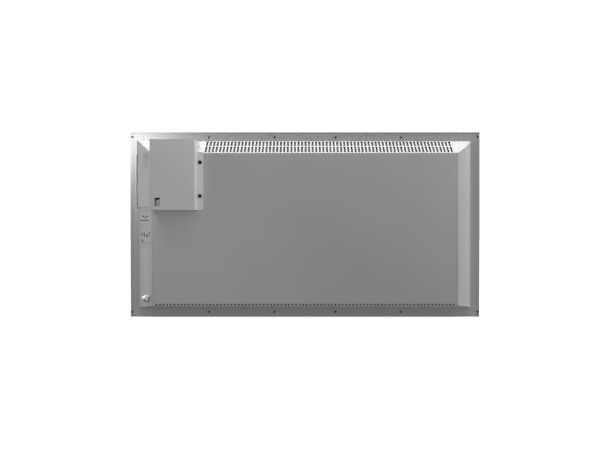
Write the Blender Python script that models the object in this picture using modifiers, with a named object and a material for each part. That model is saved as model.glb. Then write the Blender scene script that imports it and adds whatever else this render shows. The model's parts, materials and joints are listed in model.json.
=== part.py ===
"""Ventilated LED panel light, 1200 x 634 mm, with a hinged driver cover.

Frame: X along the long side, Z up, the light leaves towards +Y and the service side
faces -Y.  The origin is the centre of the bounding box.  Left is -X, right is +X.
All sizes are millimetres.  A height "d" is measured from the rear face of the pan's
flange, positive towards the service side, so Y = REAR_Y - d.
"""

import math

import bmesh
import bpy
from mathutils import Matrix, Vector

MM = 0.001

# ---- driving dimensions, millimetres -------------------------------------
LENGTH = 1200.0            # outside of the bezel along X
HEIGHT = 634.0             # outside of the bezel along Z
REAR_Y = 51.0              # Y of the pan flange's rear face (d = 0)
FRONT_D = -16.0            # front face of the bezel
GAP = 0.3                  # clearance between pieces that touch
OVERLAP = 0.5              # how far united solids run into each other

BEZEL_LIP = 25.0           # visible front border
BEZEL_WALL = 2.0
BEZEL_LEDGE = 28.0         # ledge that carries the pan flange
SIDE_RIM = 10.7            # proud rear rim on the short sides
LONG_RIM = 2.7             # proud rear rim on the long sides
RIM_D = 0.5
MITRE_GAP = 0.15

SHEET = 1.0
PAN_D = 60.0               # depth of the pan behind its flange
FLANGE_X, FLANGE_Z = 589.0, 314.0
MOUTH_X, MOUTH_Z = 569.0, 285.5
BACK_X = 513.3
BACK_TOP, BACK_BOTTOM = 240.0, -272.6
KNEE_X, KNEE_D = 548.6, 28.0   # crease half way up the right-hand slope

VENT_COUNT, SLOT_PITCH, VENT_CENTRE = 70, 12.0, 80.0
VENT_WIDTH = 6.6
VENT_ROWS = ((2.5, 24.4), (28.5, 56.0))    # d at the start and end of each row
DRAIN_COUNT, DRAIN_WIDTH, DRAIN_HEIGHT, DRAIN_Z = 84, 5.5, 5.6, -268.4

COVER_D = 118.0
COVER_X0, COVER_X1 = -508.5, -360.3
COVER_Z0, COVER_Z1 = 47.5, 279.0
WING_RISE = 7.0            # wing stands this far off the left slope
WING_Z0, LIP_Z0 = 58.8, 43.5
FOOT_X1, FOOT_Z1 = -340.2, 242.0
WINDOW_X, WINDOW_Z = (-491.0, -474.0), (59.0, 87.0)

HINGE_X, HINGE_D = -577.5, 2.4
HINGE_Z = (64.0, 238.0)    # both ends of the leaf and the pin
KNUCKLE_R, PIN_BORE_R, PIN_R = 1.9, 1.1, 0.8
KNUCKLES = (               # z start, z end, owner
    (66.0, 96.0, "leaf"), (96.5, 136.0, "cover"), (136.5, 166.0, "leaf"),
    (166.5, 206.0, "cover"), (206.5, 236.0, "leaf"))

SCREW_HOLE_R, SHANK_R = 1.9, 1.5
FASTENER_X = -352.0
FASTENER_Z = {"upper": 208.0, "lower": 95.2}
FLANGE_SCREW_X = (-330.0, -104.5, 104.5, 330.0)
FLANGE_SCREW_Z = 300.0
CORNER_SCREW = (593.4, 300.5)
TRAY_SCREWS = {"upper": (-441.0, 238.0), "lower": (-441.0, 57.0)}    # x, z

GROMMET = (-462.0, 82.0)   # X, Z of the wire hole through the pan
WIRE_CLEARANCE_R = 12.0    # hole around the grommet in the film and the tray
STRAIN_RELIEF = (-481.5, 107.0)    # X, d
GLAND_D, GLAND_Z = 42.0, -249.0
EARTH_D, EARTH_Z = 15.0, -251.0
STRIP_COUNT, STRIP_PITCH = 6, 90.0
STRIP_HALF_LENGTH, STRIP_HALF_WIDTH, STRIP_THICKNESS = 500.0, 10.0, 1.6

TRAY_X, TRAY_Z = (-496.0, -386.0), (62.0, 240.0)
TRAY_GAUGE, TRAY_WALL = 1.2, 12.0
DRIVER_X0 = {"1": -492.0, "2": -438.0}
DRIVER_WIDTH, DRIVER_HEIGHT, DRIVER_Z = 48.0, 30.0, (106.0, 226.0)
TERMINAL_X, TERMINAL_Z = -411.0, 81.0      # centre of the block
TERMINAL_HALF_X, TERMINAL_HALF_Z, TERMINAL_HEIGHT = 17.0, 11.0, 17.0
TERMINAL_PITCH, ENTRY_PITCH = 10.0, 6.5
ENTRY_RISE = 6.0           # middle of the wire entries above the block's base

# ---- dimensions that follow ----------------------------------------------
LEDGE_TOP = -SHEET - GAP
LEDGE_LOW = LEDGE_TOP - BEZEL_WALL
DIFFUSER_D0 = FRONT_D + BEZEL_WALL + GAP
DIFFUSER_D1 = DIFFUSER_D0 + 2.0
KEY_D0, KEY_D1 = DIFFUSER_D1 + GAP, LEDGE_LOW - GAP    # free height in the channel

FILM_D1 = PAN_D - SHEET - GAP
FILM_D0 = FILM_D1 - 0.6
STRIP_D1 = FILM_D0 - GAP
STRIP_D0 = STRIP_D1 - STRIP_THICKNESS

SEAT_D = PAN_D + GAP               # what rests on the pan's back starts here
FOOT_D1 = PAN_D + GAP + SHEET
HEAD_D0 = FOOT_D1 + GAP            # underside of the quarter-turn heads
BASE_D = SEAT_D + TRAY_GAUGE + GAP     # underside of the drivers

LEFT_INSET, TOP_DROP = MOUTH_X - BACK_X, MOUTH_Z - BACK_TOP
LEFT_RATE, TOP_RATE = LEFT_INSET / PAN_D, TOP_DROP / PAN_D     # shift per unit of d
LEFT_STRETCH, TOP_STRETCH = math.hypot(1.0, LEFT_RATE), math.hypot(1.0, TOP_RATE)

CORNERS = {"top_left": (-1, 1), "top_right": (1, 1),           # signs of x and z
           "bottom_left": (-1, -1), "bottom_right": (1, -1)}
FLANGE_SCREWS = {"%s_%d" % (side, number): (x, z)
                 for number, x in enumerate(FLANGE_SCREW_X, 1)
                 for side, z in (("bottom", -FLANGE_SCREW_Z), ("top", FLANGE_SCREW_Z))}
HEX_TURN = math.pi / 6

# ---- start from an empty scene -------------------------------------------
for old in list(bpy.data.objects):
    bpy.data.objects.remove(old, do_unlink=True)

PARTS = bpy.data.collections.new("led_panel_light")
CUTTERS = bpy.data.collections.new("cutters")
CUTTERS.hide_render = True
bpy.context.scene.collection.children.link(PARTS)
bpy.context.scene.collection.children.link(CUTTERS)


def material(name, colour, roughness, metallic=0.0):
    made = bpy.data.materials.new(name)
    made.use_nodes = True
    shader = made.node_tree.nodes["Principled BSDF"]
    shader.inputs["Base Color"].default_value = (*colour, 1.0)
    shader.inputs["Roughness"].default_value = roughness
    shader.inputs["Metallic"].default_value = metallic
    made.diffuse_color = (*colour, 1.0)
    return made


WHITE = material("white_painted_aluminium", colour=(0.86, 0.86, 0.86), roughness=0.35)
STEEL_PAINT = material("white_painted_steel", colour=(0.80, 0.80, 0.80), roughness=0.40)
OPAL = material("opal_acrylic", colour=(0.93, 0.93, 0.92), roughness=0.45)
FOAM = material("grey_foam", colour=(0.16, 0.16, 0.16), roughness=0.95)
FILM = material("white_film", colour=(0.95, 0.95, 0.95), roughness=0.6)
BOARD = material("aluminium_board", colour=(0.88, 0.88, 0.86), roughness=0.4, metallic=0.3)
ZINC = material("zinc_plated_steel", colour=(0.72, 0.72, 0.70), roughness=0.35, metallic=1.0)
DIE_CAST = material("die_cast_zinc", colour=(0.45, 0.45, 0.45), roughness=0.5, metallic=1.0)
BLACK = material("black_oxide_steel", colour=(0.02, 0.02, 0.02), roughness=0.45, metallic=0.6)
BRASS = material("nickel_plated_brass", colour=(0.75, 0.73, 0.68), roughness=0.25, metallic=1.0)
RUBBER = material("black_rubber", colour=(0.03, 0.03, 0.03), roughness=0.8)
GREY_PLASTIC = material("grey_polyamide", colour=(0.45, 0.45, 0.45), roughness=0.5)
WHITE_PLASTIC = material("white_polycarbonate", colour=(0.85, 0.85, 0.83), roughness=0.4)
LABEL = material("silver_label", colour=(0.70, 0.70, 0.70), roughness=0.45)
BROWN = material("brown_pvc", colour=(0.20, 0.09, 0.04), roughness=0.5)
BLUE = material("blue_pvc", colour=(0.05, 0.15, 0.50), roughness=0.5)
GREEN = material("green_pvc", colour=(0.10, 0.35, 0.08), roughness=0.5)
RED = material("red_pvc", colour=(0.55, 0.04, 0.03), roughness=0.5)
BLACK_PVC = material("black_pvc", colour=(0.03, 0.03, 0.03), roughness=0.5)
GREY_PVC = material("grey_pvc", colour=(0.35, 0.35, 0.35), roughness=0.55)


# ---- places and frames -----------------------------------------------------
def at(x, d, z):
    """World point, in metres, from panel coordinates in millimetres."""
    return Vector((x, REAR_Y - d, z)) * MM


def along_d(x, z, d=0.0):
    """Frame at (x, d, z) whose local Z points along growing d (-Y)."""
    return Matrix.Translation(at(x, d, z)) @ Matrix.Rotation(math.pi / 2, 4, "X")


def along_z(x, d):
    """Frame at (x, d) and Z = 0, with the world's directions."""
    return Matrix.Translation(at(x, d, 0.0))


def slope_frame(d, z, offset=0.0):
    """Frame on the left slope at height d: local Z is its outward normal."""
    run = math.hypot(LEFT_INSET, PAN_D)
    along = Vector((LEFT_INSET / run, -PAN_D / run, 0.0))
    normal = Vector((-PAN_D / run, -LEFT_INSET / run, 0.0))
    axes = Matrix((along, normal.cross(along), normal)).transposed().to_4x4()
    foot = at(-MOUTH_X + LEFT_INSET * d / PAN_D, d, z) + normal * offset * MM
    return Matrix.Translation(foot) @ axes


def left_line(d, offset):
    """X on a line parallel to the left slope, offset along its outward normal."""
    return -MOUTH_X + LEFT_RATE * d - offset * LEFT_STRETCH


def top_line(d, offset):
    """Z on a line parallel to the top slope, offset along its outward normal."""
    return MOUTH_Z - TOP_RATE * d + offset * TOP_STRETCH


def row(count, pitch, centre=0.0):
    """Evenly spaced places about a centre."""
    return [centre + (i - (count - 1) / 2) * pitch for i in range(count)]


GLAND_FRAME = slope_frame(GLAND_D, GLAND_Z)
EARTH_FRAME = slope_frame(EARTH_D, EARTH_Z)
GROMMET_FRAME = along_d(*GROMMET, PAN_D)
RELIEF_FRAME = along_z(*STRAIN_RELIEF)
HINGE_AXIS = along_z(HINGE_X, HINGE_D)


# ---- meshes ----------------------------------------------------------------
def to_mesh(name, bm, matrix=None):
    """Closed mesh with outward normals from a bmesh, which is freed."""
    if matrix is not None:
        bm.transform(matrix)
    bm.normal_update()
    bmesh.ops.recalc_face_normals(bm, faces=bm.faces[:])
    if bm.calc_volume(signed=True) < 0:
        bmesh.ops.reverse_faces(bm, faces=bm.faces[:])
    mesh = bpy.data.meshes.new(name)
    bm.to_mesh(mesh)
    bm.free()
    return mesh


def take_bmesh(mesh):
    """Editable copy of a mesh, which is removed so that its name is free again."""
    bm = bmesh.new()
    bm.from_mesh(mesh)
    bpy.data.meshes.remove(mesh)
    return bm


def box_mesh(name, x0, x1, d0, d1, z0, z1):
    bm = bmesh.new()
    bmesh.ops.create_cube(bm, size=1.0)
    low, high = at(x0, d1, z0), at(x1, d0, z1)
    bmesh.ops.scale(bm, vec=high - low, verts=bm.verts[:])
    bmesh.ops.translate(bm, vec=(low + high) / 2, verts=bm.verts[:])
    return to_mesh(name, bm)


def boxes_mesh(name, boxes, matrix=None):
    """Several separate boxes in one mesh: (x0, x1, y0, y1, z0, z1) in mm."""
    bm = bmesh.new()
    for x0, x1, y0, y1, z0, z1 in boxes:
        made = bmesh.ops.create_cube(bm, size=1.0)["verts"]
        bmesh.ops.scale(bm, vec=Vector((x1 - x0, y1 - y0, z1 - z0)) * MM, verts=made)
        bmesh.ops.translate(bm, vec=Vector((x0 + x1, y0 + y1, z0 + z1)) * MM / 2, verts=made)
    return to_mesh(name, bm, matrix)


def cone_mesh(name, radius0, radius1, z0, z1, frame, segments=24, turn=0.0):
    """Cone along the frame's Z, radius0 at z0 and radius1 at z1."""
    bm = bmesh.new()
    matrix = (Matrix.Translation(Vector((0, 0, (z0 + z1) / 2 * MM)))
              @ Matrix.Rotation(turn, 4, "Z"))
    bmesh.ops.create_cone(bm, cap_ends=True, segments=segments, radius1=radius0 * MM,
                          radius2=radius1 * MM, depth=(z1 - z0) * MM, matrix=matrix)
    return to_mesh(name, bm, frame)


def rod_mesh(name, radius, z0, z1, frame, segments=24, turn=0.0):
    """Cylinder or prism along the frame's Z."""
    return cone_mesh(name, radius, radius, z0, z1, frame, segments, turn)


def slab_mesh(name, loops, thickness, matrix):
    """Flat outline with optional holes: a filled 2D curve, extruded both ways."""
    curve = bpy.data.curves.new(name + "_outline", "CURVE")
    curve.dimensions = "2D"
    curve.fill_mode = "BOTH"
    curve.extrude = thickness * MM / 2
    for loop in loops:
        spline = curve.splines.new("POLY")
        spline.points.add(len(loop) - 1)
        for point, (x, y) in zip(spline.points, loop):
            point.co = (x * MM, y * MM, 0.0, 1.0)
        spline.use_cyclic_u = True
    holder = bpy.data.objects.new(name + "_outline", curve)
    CUTTERS.objects.link(holder)
    bpy.context.view_layer.update()
    evaluated = holder.evaluated_get(bpy.context.evaluated_depsgraph_get())
    mesh = bpy.data.meshes.new_from_object(evaluated)
    bpy.data.objects.remove(holder, do_unlink=True)
    bpy.data.curves.remove(curve)
    bm = take_bmesh(mesh)
    bmesh.ops.remove_doubles(bm, verts=bm.verts[:], dist=1e-6)
    return to_mesh(name, bm, matrix)


def x_d_slab(name, outline, z0, z1):
    """Slab with an (x, d) outline between z0 and z1."""
    stand = Matrix(((1, 0, 0, 0), (0, -1, 0, REAR_Y * MM), (0, 0, -1, (z0 + z1) / 2 * MM),
                    (0, 0, 0, 1)))
    return slab_mesh(name, [outline], z1 - z0, stand)


def x_z_slab(name, loops, d0, d1):
    """Slab with an (x, z) outline and holes between heights d0 and d1."""
    lay = Matrix(((1, 0, 0, 0), (0, 0, -1, (REAR_Y - (d0 + d1) / 2) * MM),
                  (0, 1, 0, 0), (0, 0, 0, 1)))
    return slab_mesh(name, loops, d1 - d0, lay)


def placed_slab(name, outline, place, matrix=None):
    """Slab whose vertices move to place(u, v, side); side's sign tells the two faces."""
    bm = take_bmesh(slab_mesh(name, [outline], 2.0, Matrix.Identity(4)))
    for vert in bm.verts:
        vert.co = at(*place(vert.co.x / MM, vert.co.y / MM, vert.co.z))
    return to_mesh(name, bm, matrix)


def under_top_slope(name, outline, z0, offset):
    """Solid with an (x, d) outline from z0 up to a plane parallel to the top slope."""
    def place(x, d, side):
        return x, d, z0 if side < 0 else top_line(d, offset)

    return placed_slab(name, outline, place)


def rectangle(x0, x1, z0, z1):
    return [(x0, z0), (x1, z0), (x1, z1), (x0, z1)]


def circle(x, z, radius, count=20):
    angles = [2 * math.pi * i / count for i in range(count)]
    return [(x + radius * math.cos(angle), z + radius * math.sin(angle)) for angle in angles]


# ---- objects ---------------------------------------------------------------
def piece(name, mesh, finish):
    obj = bpy.data.objects.new(name, mesh)
    PARTS.objects.link(obj)
    mesh.materials.append(finish)
    return obj


def combine(obj, meshes, operation, prefix):
    """One hidden helper object and one boolean modifier for each mesh."""
    for mesh in meshes:
        helper = bpy.data.objects.new(prefix + mesh.name, mesh)
        CUTTERS.objects.link(helper)
        helper.hide_render = True
        helper.display_type = "WIRE"
        modifier = obj.modifiers.new(helper.name, "BOOLEAN")
        modifier.operation = operation
        modifier.solver = "EXACT"
        modifier.object = helper


def cut(obj, *meshes):
    combine(obj, meshes, "DIFFERENCE", "cut_")


def add(obj, *meshes):
    combine(obj, meshes, "UNION", "add_")


def screw(kind, place, frame, head, shank, recess, helper=None, slots=("cross_a", "cross_b")):
    """Screw along the frame's Z, with one or two crossing slots in its head.

    head: radius0, radius1, z0, z1; shank: z0, z1; recess: half length, z0, z1.
    """
    helper = helper or kind
    body = piece(f"{kind}_screw_{place}",
                 cone_mesh(f"{kind}_screw_{place}", *head, frame, 16), ZINC)
    add(body, rod_mesh(f"{helper}_shank_{place}", SHANK_R, *shank, frame, 12))
    reach, z0, z1 = recess
    half_width = 0.4
    bars = ((-reach, reach, -half_width, half_width, z0, z1),
            (-half_width, half_width, -reach, reach, z0, z1))
    for slot, bar in zip(slots, bars):
        cut(body, boxes_mesh(f"{helper}_{slot}_{place}", [bar], frame))


def bend(points, steps=2):
    """Rounds a path by corner cutting, keeping its two ends."""
    for _ in range(steps):
        new = [points[0]]
        for a, b in zip(points, points[1:]):
            new.append(tuple(0.75 * p + 0.25 * q for p, q in zip(a, b)))
            new.append(tuple(0.25 * p + 0.75 * q for p, q in zip(a, b)))
        new.append(points[-1])
        points = new
    return points


def wire(name, path, radius, finish):
    """Round wire along a path of (x, d, z) points, with its bends rounded."""
    curve = bpy.data.curves.new(name, "CURVE")
    curve.dimensions = "3D"
    curve.bevel_depth = radius * MM
    curve.bevel_resolution = 2
    curve.use_fill_caps = True
    points = bend(path)
    spline = curve.splines.new("POLY")
    spline.points.add(len(points) - 1)
    for point, place in zip(spline.points, points):
        point.co = (*at(*place), 1.0)
    curve.materials.append(finish)
    PARTS.objects.link(bpy.data.objects.new(name, curve))


# ---- bezel: four mitred rails with a C section -----------------------------
def rail(name, rim, half_length, half_width, turn):
    """Rail along X at z = half_width, ends mitred at 45 degrees, then turned about Y."""
    front_chamfer, rear_chamfer = 1.5, 0.8
    profile = [            # inset from the outer face, d
        (0, FRONT_D + front_chamfer), (front_chamfer, FRONT_D), (BEZEL_LIP, FRONT_D),
        (BEZEL_LIP, FRONT_D + BEZEL_WALL), (BEZEL_WALL, FRONT_D + BEZEL_WALL),
        (BEZEL_WALL, LEDGE_LOW), (BEZEL_LEDGE, LEDGE_LOW), (BEZEL_LEDGE, LEDGE_TOP),
        (rim, LEDGE_TOP), (rim, RIM_D), (rear_chamfer, RIM_D), (0, RIM_D - rear_chamfer)]

    def place(inset, d, side):
        end = math.copysign(half_length - inset - MITRE_GAP * math.sqrt(2), side)
        return end, d, half_width - inset

    return piece(name, placed_slab(name, profile, place, Matrix.Rotation(turn, 4, "Y")), WHITE)


def corner_frame(place):
    """Axis of the corner screw, local Z to the rear."""
    sign_x, sign_z = CORNERS[place]
    return along_d(sign_x * CORNER_SCREW[0], sign_z * CORNER_SCREW[1])


def make_bezel():
    rails = {
        "top": rail("bezel_top", LONG_RIM, LENGTH / 2, HEIGHT / 2, 0.0),
        "bottom": rail("bezel_bottom", LONG_RIM, LENGTH / 2, HEIGHT / 2, math.pi),
        "right": rail("bezel_right", SIDE_RIM, HEIGHT / 2, LENGTH / 2, math.pi / 2),
        "left": rail("bezel_left", SIDE_RIM, HEIGHT / 2, LENGTH / 2, -math.pi / 2),
    }
    for place, (sign_x, _) in CORNERS.items():
        frame = corner_frame(place)
        cut(rails["right" if sign_x > 0 else "left"],
            rod_mesh("rim_hole_" + place, SCREW_HOLE_R, -6.0, -1.4, frame, 12),
            cone_mesh("rim_sink_" + place, SCREW_HOLE_R, 3.9, -1.5, RIM_D + 0.02, frame, 16))
    for tag, (x, z) in FLANGE_SCREWS.items():
        cut(rails["top" if z > 0 else "bottom"],
            rod_mesh("ledge_hole_" + tag, SCREW_HOLE_R, -5.0, 0.0, along_d(x, z), 12))


def make_corner_key(place):
    """L-shaped key that joins two rails inside the channel, and its countersunk screw."""
    sign_x, sign_z = CORNERS[place]
    leg = 58.0
    outer_x, outer_z = LENGTH / 2 - BEZEL_WALL - GAP, HEIGHT / 2 - BEZEL_WALL - GAP
    inner_x, inner_z = LENGTH / 2 - 17.0, HEIGHT / 2 - 14.0
    outline = [(sign_x * x, sign_z * z) for x, z in (
        (outer_x, outer_z), (outer_x, outer_z - leg), (inner_x, outer_z - leg),
        (inner_x, inner_z), (outer_x - leg, inner_z), (outer_x - leg, outer_z))]
    if sign_x * sign_z < 0:        # a mirrored outline runs the other way round
        outline.reverse()
    key = piece("corner_key_" + place,
                x_z_slab("key_" + place, [outline], KEY_D0, KEY_D1), DIE_CAST)
    frame = corner_frame(place)
    cut(key, rod_mesh("key_hole_" + place, SCREW_HOLE_R, -9.6, 5.0, frame, 12))
    screw("corner", place, frame, head=(1.55, 3.4, -1.45, RIM_D - 0.1), shank=(-9.2, -1.0),
          recess=(1.9, -0.7, 1.5), helper="screw")


make_bezel()
for corner in CORNERS:
    make_corner_key(corner)


# ---- optics ----------------------------------------------------------------
def make_diffuser():
    half_x, half_z = LENGTH / 2 - 3.0, HEIGHT / 2 - 3.0
    piece("diffuser", box_mesh("diffuser", -half_x, half_x, DIFFUSER_D0, DIFFUSER_D1,
                               -half_z, half_z), OPAL)


def make_gasket():
    """Foam frame, flush with the inner edge of the bezel's lip."""
    loops = []
    for inset in (BEZEL_LIP - 6.0, BEZEL_LIP):
        half_x, half_z = LENGTH / 2 - inset, HEIGHT / 2 - inset
        loops.append(rectangle(-half_x, half_x, -half_z, half_z))
    piece("diffuser_gasket", x_z_slab("gasket", loops, KEY_D0, KEY_D1), FOAM)


def make_reflector():
    x_edge, z_low, z_high = 508, -258, 232
    holes = [circle(FASTENER_X, z, 9.0) for z in FASTENER_Z.values()]
    holes.append(circle(*GROMMET, WIRE_CLEARANCE_R))
    holes += [circle(x, z, 4.0, 12) for x, z in TRAY_SCREWS.values() if z < z_high]
    loops = [rectangle(-x_edge, x_edge, z_low, z_high)]
    loops += [list(reversed(hole)) for hole in holes]
    piece("reflector_film", x_z_slab("film", loops, FILM_D0, FILM_D1), FILM)


def make_led_strips():
    for number, z in enumerate(row(STRIP_COUNT, STRIP_PITCH), 1):
        name = "led_strip_%d" % number
        piece(name, box_mesh(name, -STRIP_HALF_LENGTH, STRIP_HALF_LENGTH, STRIP_D0, STRIP_D1,
                             z - STRIP_HALF_WIDTH, z + STRIP_HALF_WIDTH), BOARD)


make_diffuser()
make_gasket()
make_reflector()
make_led_strips()


# ---- back pan: open sheet surface with thickness, then its openings --------
def pan_surface():
    """Rear skin of the pan: flat back, four slopes and a flange, one sheet."""
    knee_top = MOUTH_Z - TOP_DROP * KNEE_D / PAN_D
    knee_low = -MOUTH_Z + (BACK_BOTTOM + MOUTH_Z) * KNEE_D / PAN_D
    points = {             # x, d, z; corners run from bottom left, by bottom right
        "back0": (-BACK_X, PAN_D, BACK_BOTTOM), "back1": (BACK_X, PAN_D, BACK_BOTTOM),
        "back2": (BACK_X, PAN_D, BACK_TOP), "back3": (-BACK_X, PAN_D, BACK_TOP),
        "knee1": (KNEE_X, KNEE_D, knee_low), "knee2": (KNEE_X, KNEE_D, knee_top)}
    for ring, x, z in (("mouth", MOUTH_X, MOUTH_Z), ("flange", FLANGE_X, FLANGE_Z)):
        for i, (sign_x, sign_z) in enumerate(((-1, -1), (1, -1), (1, 1), (-1, 1))):
            points[f"{ring}{i}"] = (sign_x * x, 0.0, sign_z * z)
    faces = (
        "back0 back1 back2 back3", "mouth0 mouth1 knee1 back1 back0",
        "mouth1 mouth2 knee2 knee1", "knee1 knee2 back2 back1",
        "mouth2 mouth3 back3 back2 knee2", "mouth3 mouth0 back0 back3",
        "flange0 flange1 mouth1 mouth0", "flange1 flange2 mouth2 mouth1",
        "flange2 flange3 mouth3 mouth2", "flange3 flange0 mouth0 mouth3")
    bm = bmesh.new()
    verts = {name: bm.verts.new(at(*point)) for name, point in points.items()}
    for face in faces:
        bm.faces.new([verts[name] for name in face.split()])
    bmesh.ops.recalc_face_normals(bm, faces=bm.faces[:])
    bm.faces.ensure_lookup_table()
    if bm.faces[0].normal.y > 0:
        bmesh.ops.reverse_faces(bm, faces=bm.faces[:])
    mesh = bpy.data.meshes.new("back_pan")
    bm.to_mesh(mesh)
    bm.free()
    return mesh


def vents_mesh():
    """Two rows of slots through the top slope."""
    # local X along the row, local Y down the slope to the back, local Z into the pan
    run = math.hypot(TOP_DROP, PAN_D)
    across = Vector((1.0, 0.0, 0.0))
    down = Vector((0.0, -PAN_D / run, -TOP_DROP / run))
    frame = (Matrix.Translation(at(0.0, 0.0, MOUTH_Z))
             @ Matrix((across, down, across.cross(down))).transposed().to_4x4())
    slots = [(x - VENT_WIDTH / 2, x + VENT_WIDTH / 2, start / PAN_D * run, end / PAN_D * run,
              -3.0, 3.0)
             for start, end in VENT_ROWS for x in row(VENT_COUNT, SLOT_PITCH, VENT_CENTRE)]
    return boxes_mesh("vents", slots, frame)


def drains_mesh():
    """Row of slots through the flat back, along its lower edge."""
    back_y = REAR_Y - PAN_D
    return boxes_mesh("drains", [
        (x - DRAIN_WIDTH / 2, x + DRAIN_WIDTH / 2, back_y - 3, back_y + 3,
         DRAIN_Z - DRAIN_HEIGHT / 2, DRAIN_Z + DRAIN_HEIGHT / 2)
        for x in row(DRAIN_COUNT, SLOT_PITCH)])


def make_back_pan():
    pan = piece("back_pan", pan_surface(), STEEL_PAINT)
    sheet = pan.modifiers.new("sheet", "SOLIDIFY")
    sheet.thickness = SHEET * MM
    sheet.offset = -1.0
    sheet.use_even_offset = True
    sheet.use_quality_normals = True
    cut(pan, vents_mesh(), drains_mesh())
    slot_half_x, slot_half_z = 7, 3.25
    for place, z in FASTENER_Z.items():
        cut(pan, box_mesh("latch_slot_" + place, FASTENER_X - slot_half_x,
                          FASTENER_X + slot_half_x, PAN_D - 3, PAN_D + 3,
                          z - slot_half_z, z + slot_half_z))
    cut(pan, rod_mesh("wire_hole", 9.0, -4, 4, GROMMET_FRAME))
    for tag, (x, z) in FLANGE_SCREWS.items():
        cut(pan, rod_mesh("flange_hole_" + tag, 2.0, -2.2, 2.0, along_d(x, z), 12))
    cut(pan, rod_mesh("gland_hole", 8.4, -4, 4, GLAND_FRAME),
        rod_mesh("earth_hole", 2.8, -4, 4, EARTH_FRAME, 16))
    for place, (x, z) in TRAY_SCREWS.items():
        cut(pan, rod_mesh("tray_hole_" + place, SCREW_HOLE_R, -4, 4, along_d(x, z, PAN_D), 12))


make_back_pan()
for screw_tag, (screw_x, screw_z) in FLANGE_SCREWS.items():
    screw("flange", screw_tag, along_d(screw_x, screw_z), head=(3.5, 2.7, GAP, 2.3),
          shank=(-7.5, 1.0), recess=(1.7, 1.3, 3.5))


# ---- what the driver box holds ---------------------------------------------
def make_tray():
    """U-shaped tray with a lower tongue for the second screw."""
    x0, x1 = TRAY_X
    floor, rim = SEAT_D + TRAY_GAUGE, SEAT_D + TRAY_WALL
    profile = [            # x, d
        (x0, SEAT_D), (x1, SEAT_D), (x1, rim), (x1 - TRAY_GAUGE, rim),
        (x1 - TRAY_GAUGE, floor), (x0 + TRAY_GAUGE, floor), (x0 + TRAY_GAUGE, rim), (x0, rim)]
    tray = piece("driver_tray", x_d_slab("tray", profile, *TRAY_Z), ZINC)
    tongue_x, tongue_half_x = TRAY_SCREWS["lower"][0], 9.0
    add(tray, box_mesh("tray_tongue", tongue_x - tongue_half_x, tongue_x + tongue_half_x,
                       SEAT_D, floor, TRAY_Z[0] - 10.0, TRAY_Z[0] + 1.0))
    cut(tray, rod_mesh("tray_wire_hole", WIRE_CLEARANCE_R, -3, 3, along_d(*GROMMET, SEAT_D)))
    for place, (x, z) in TRAY_SCREWS.items():
        frame = along_d(x, z, SEAT_D)
        cut(tray, rod_mesh("tray_screw_hole_" + place, SCREW_HOLE_R, -3, 3, frame, 12))
        screw("tray", place, frame, head=(3.3, 2.6, TRAY_GAUGE + GAP, 3.4), shank=(-3.4, 2.0),
              recess=(1.8, 2.5, 4.5), slots=("cross",))


def make_drivers():
    for number, x0 in DRIVER_X0.items():
        name = "led_driver_" + number
        case = piece(name, box_mesh(name, x0, x0 + DRIVER_WIDTH, BASE_D,
                                    BASE_D + DRIVER_HEIGHT, *DRIVER_Z), WHITE_PLASTIC)
        rounded = case.modifiers.new("rounded", "BEVEL")
        rounded.width = 2.0 * MM
        rounded.segments = 2


def make_terminal_block():
    """Block with three square screw wells and three wire entries in its left face."""
    x0, x1 = TERMINAL_X - TERMINAL_HALF_X, TERMINAL_X + TERMINAL_HALF_X
    block = piece("terminal_block", box_mesh(
        "terminal_block", x0, x1, BASE_D, BASE_D + TERMINAL_HEIGHT,
        TERMINAL_Z - TERMINAL_HALF_Z, TERMINAL_Z + TERMINAL_HALF_Z), WHITE_PLASTIC)
    base_y = REAR_Y - BASE_D
    well, entry = 2.2, 2.0         # half widths
    cut(block, boxes_mesh("terminal_screws", [
        (x - well, x + well, base_y - 20.0, base_y - 12.0, TERMINAL_Z - well, TERMINAL_Z + well)
        for x in row(3, TERMINAL_PITCH, TERMINAL_X)]))
    cut(block, boxes_mesh("terminal_entries", [
        (x0 - 2.0, x0 + 4.5, base_y - ENTRY_RISE - entry, base_y - ENTRY_RISE + entry,
         z - entry, z + entry)
        for z in row(3, ENTRY_PITCH, TERMINAL_Z)]))


def make_grommet():
    mesh = cone_mesh("wire_grommet", 11.0, 11.0, GAP, 2.4, GROMMET_FRAME)
    grommet = piece("wire_grommet", mesh, RUBBER)
    add(grommet, rod_mesh("grommet_neck", 8.6, -1.6, 0.8, GROMMET_FRAME),
        cone_mesh("grommet_lip", 10.4, 9.6, -3.6, -1.3, GROMMET_FRAME))
    cut(grommet, rod_mesh("grommet_bore", 6.4, -8, 8, GROMMET_FRAME, 20))
    mesh.shade_smooth()
    mesh.set_sharp_from_angle(angle=math.radians(40.0))


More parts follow.
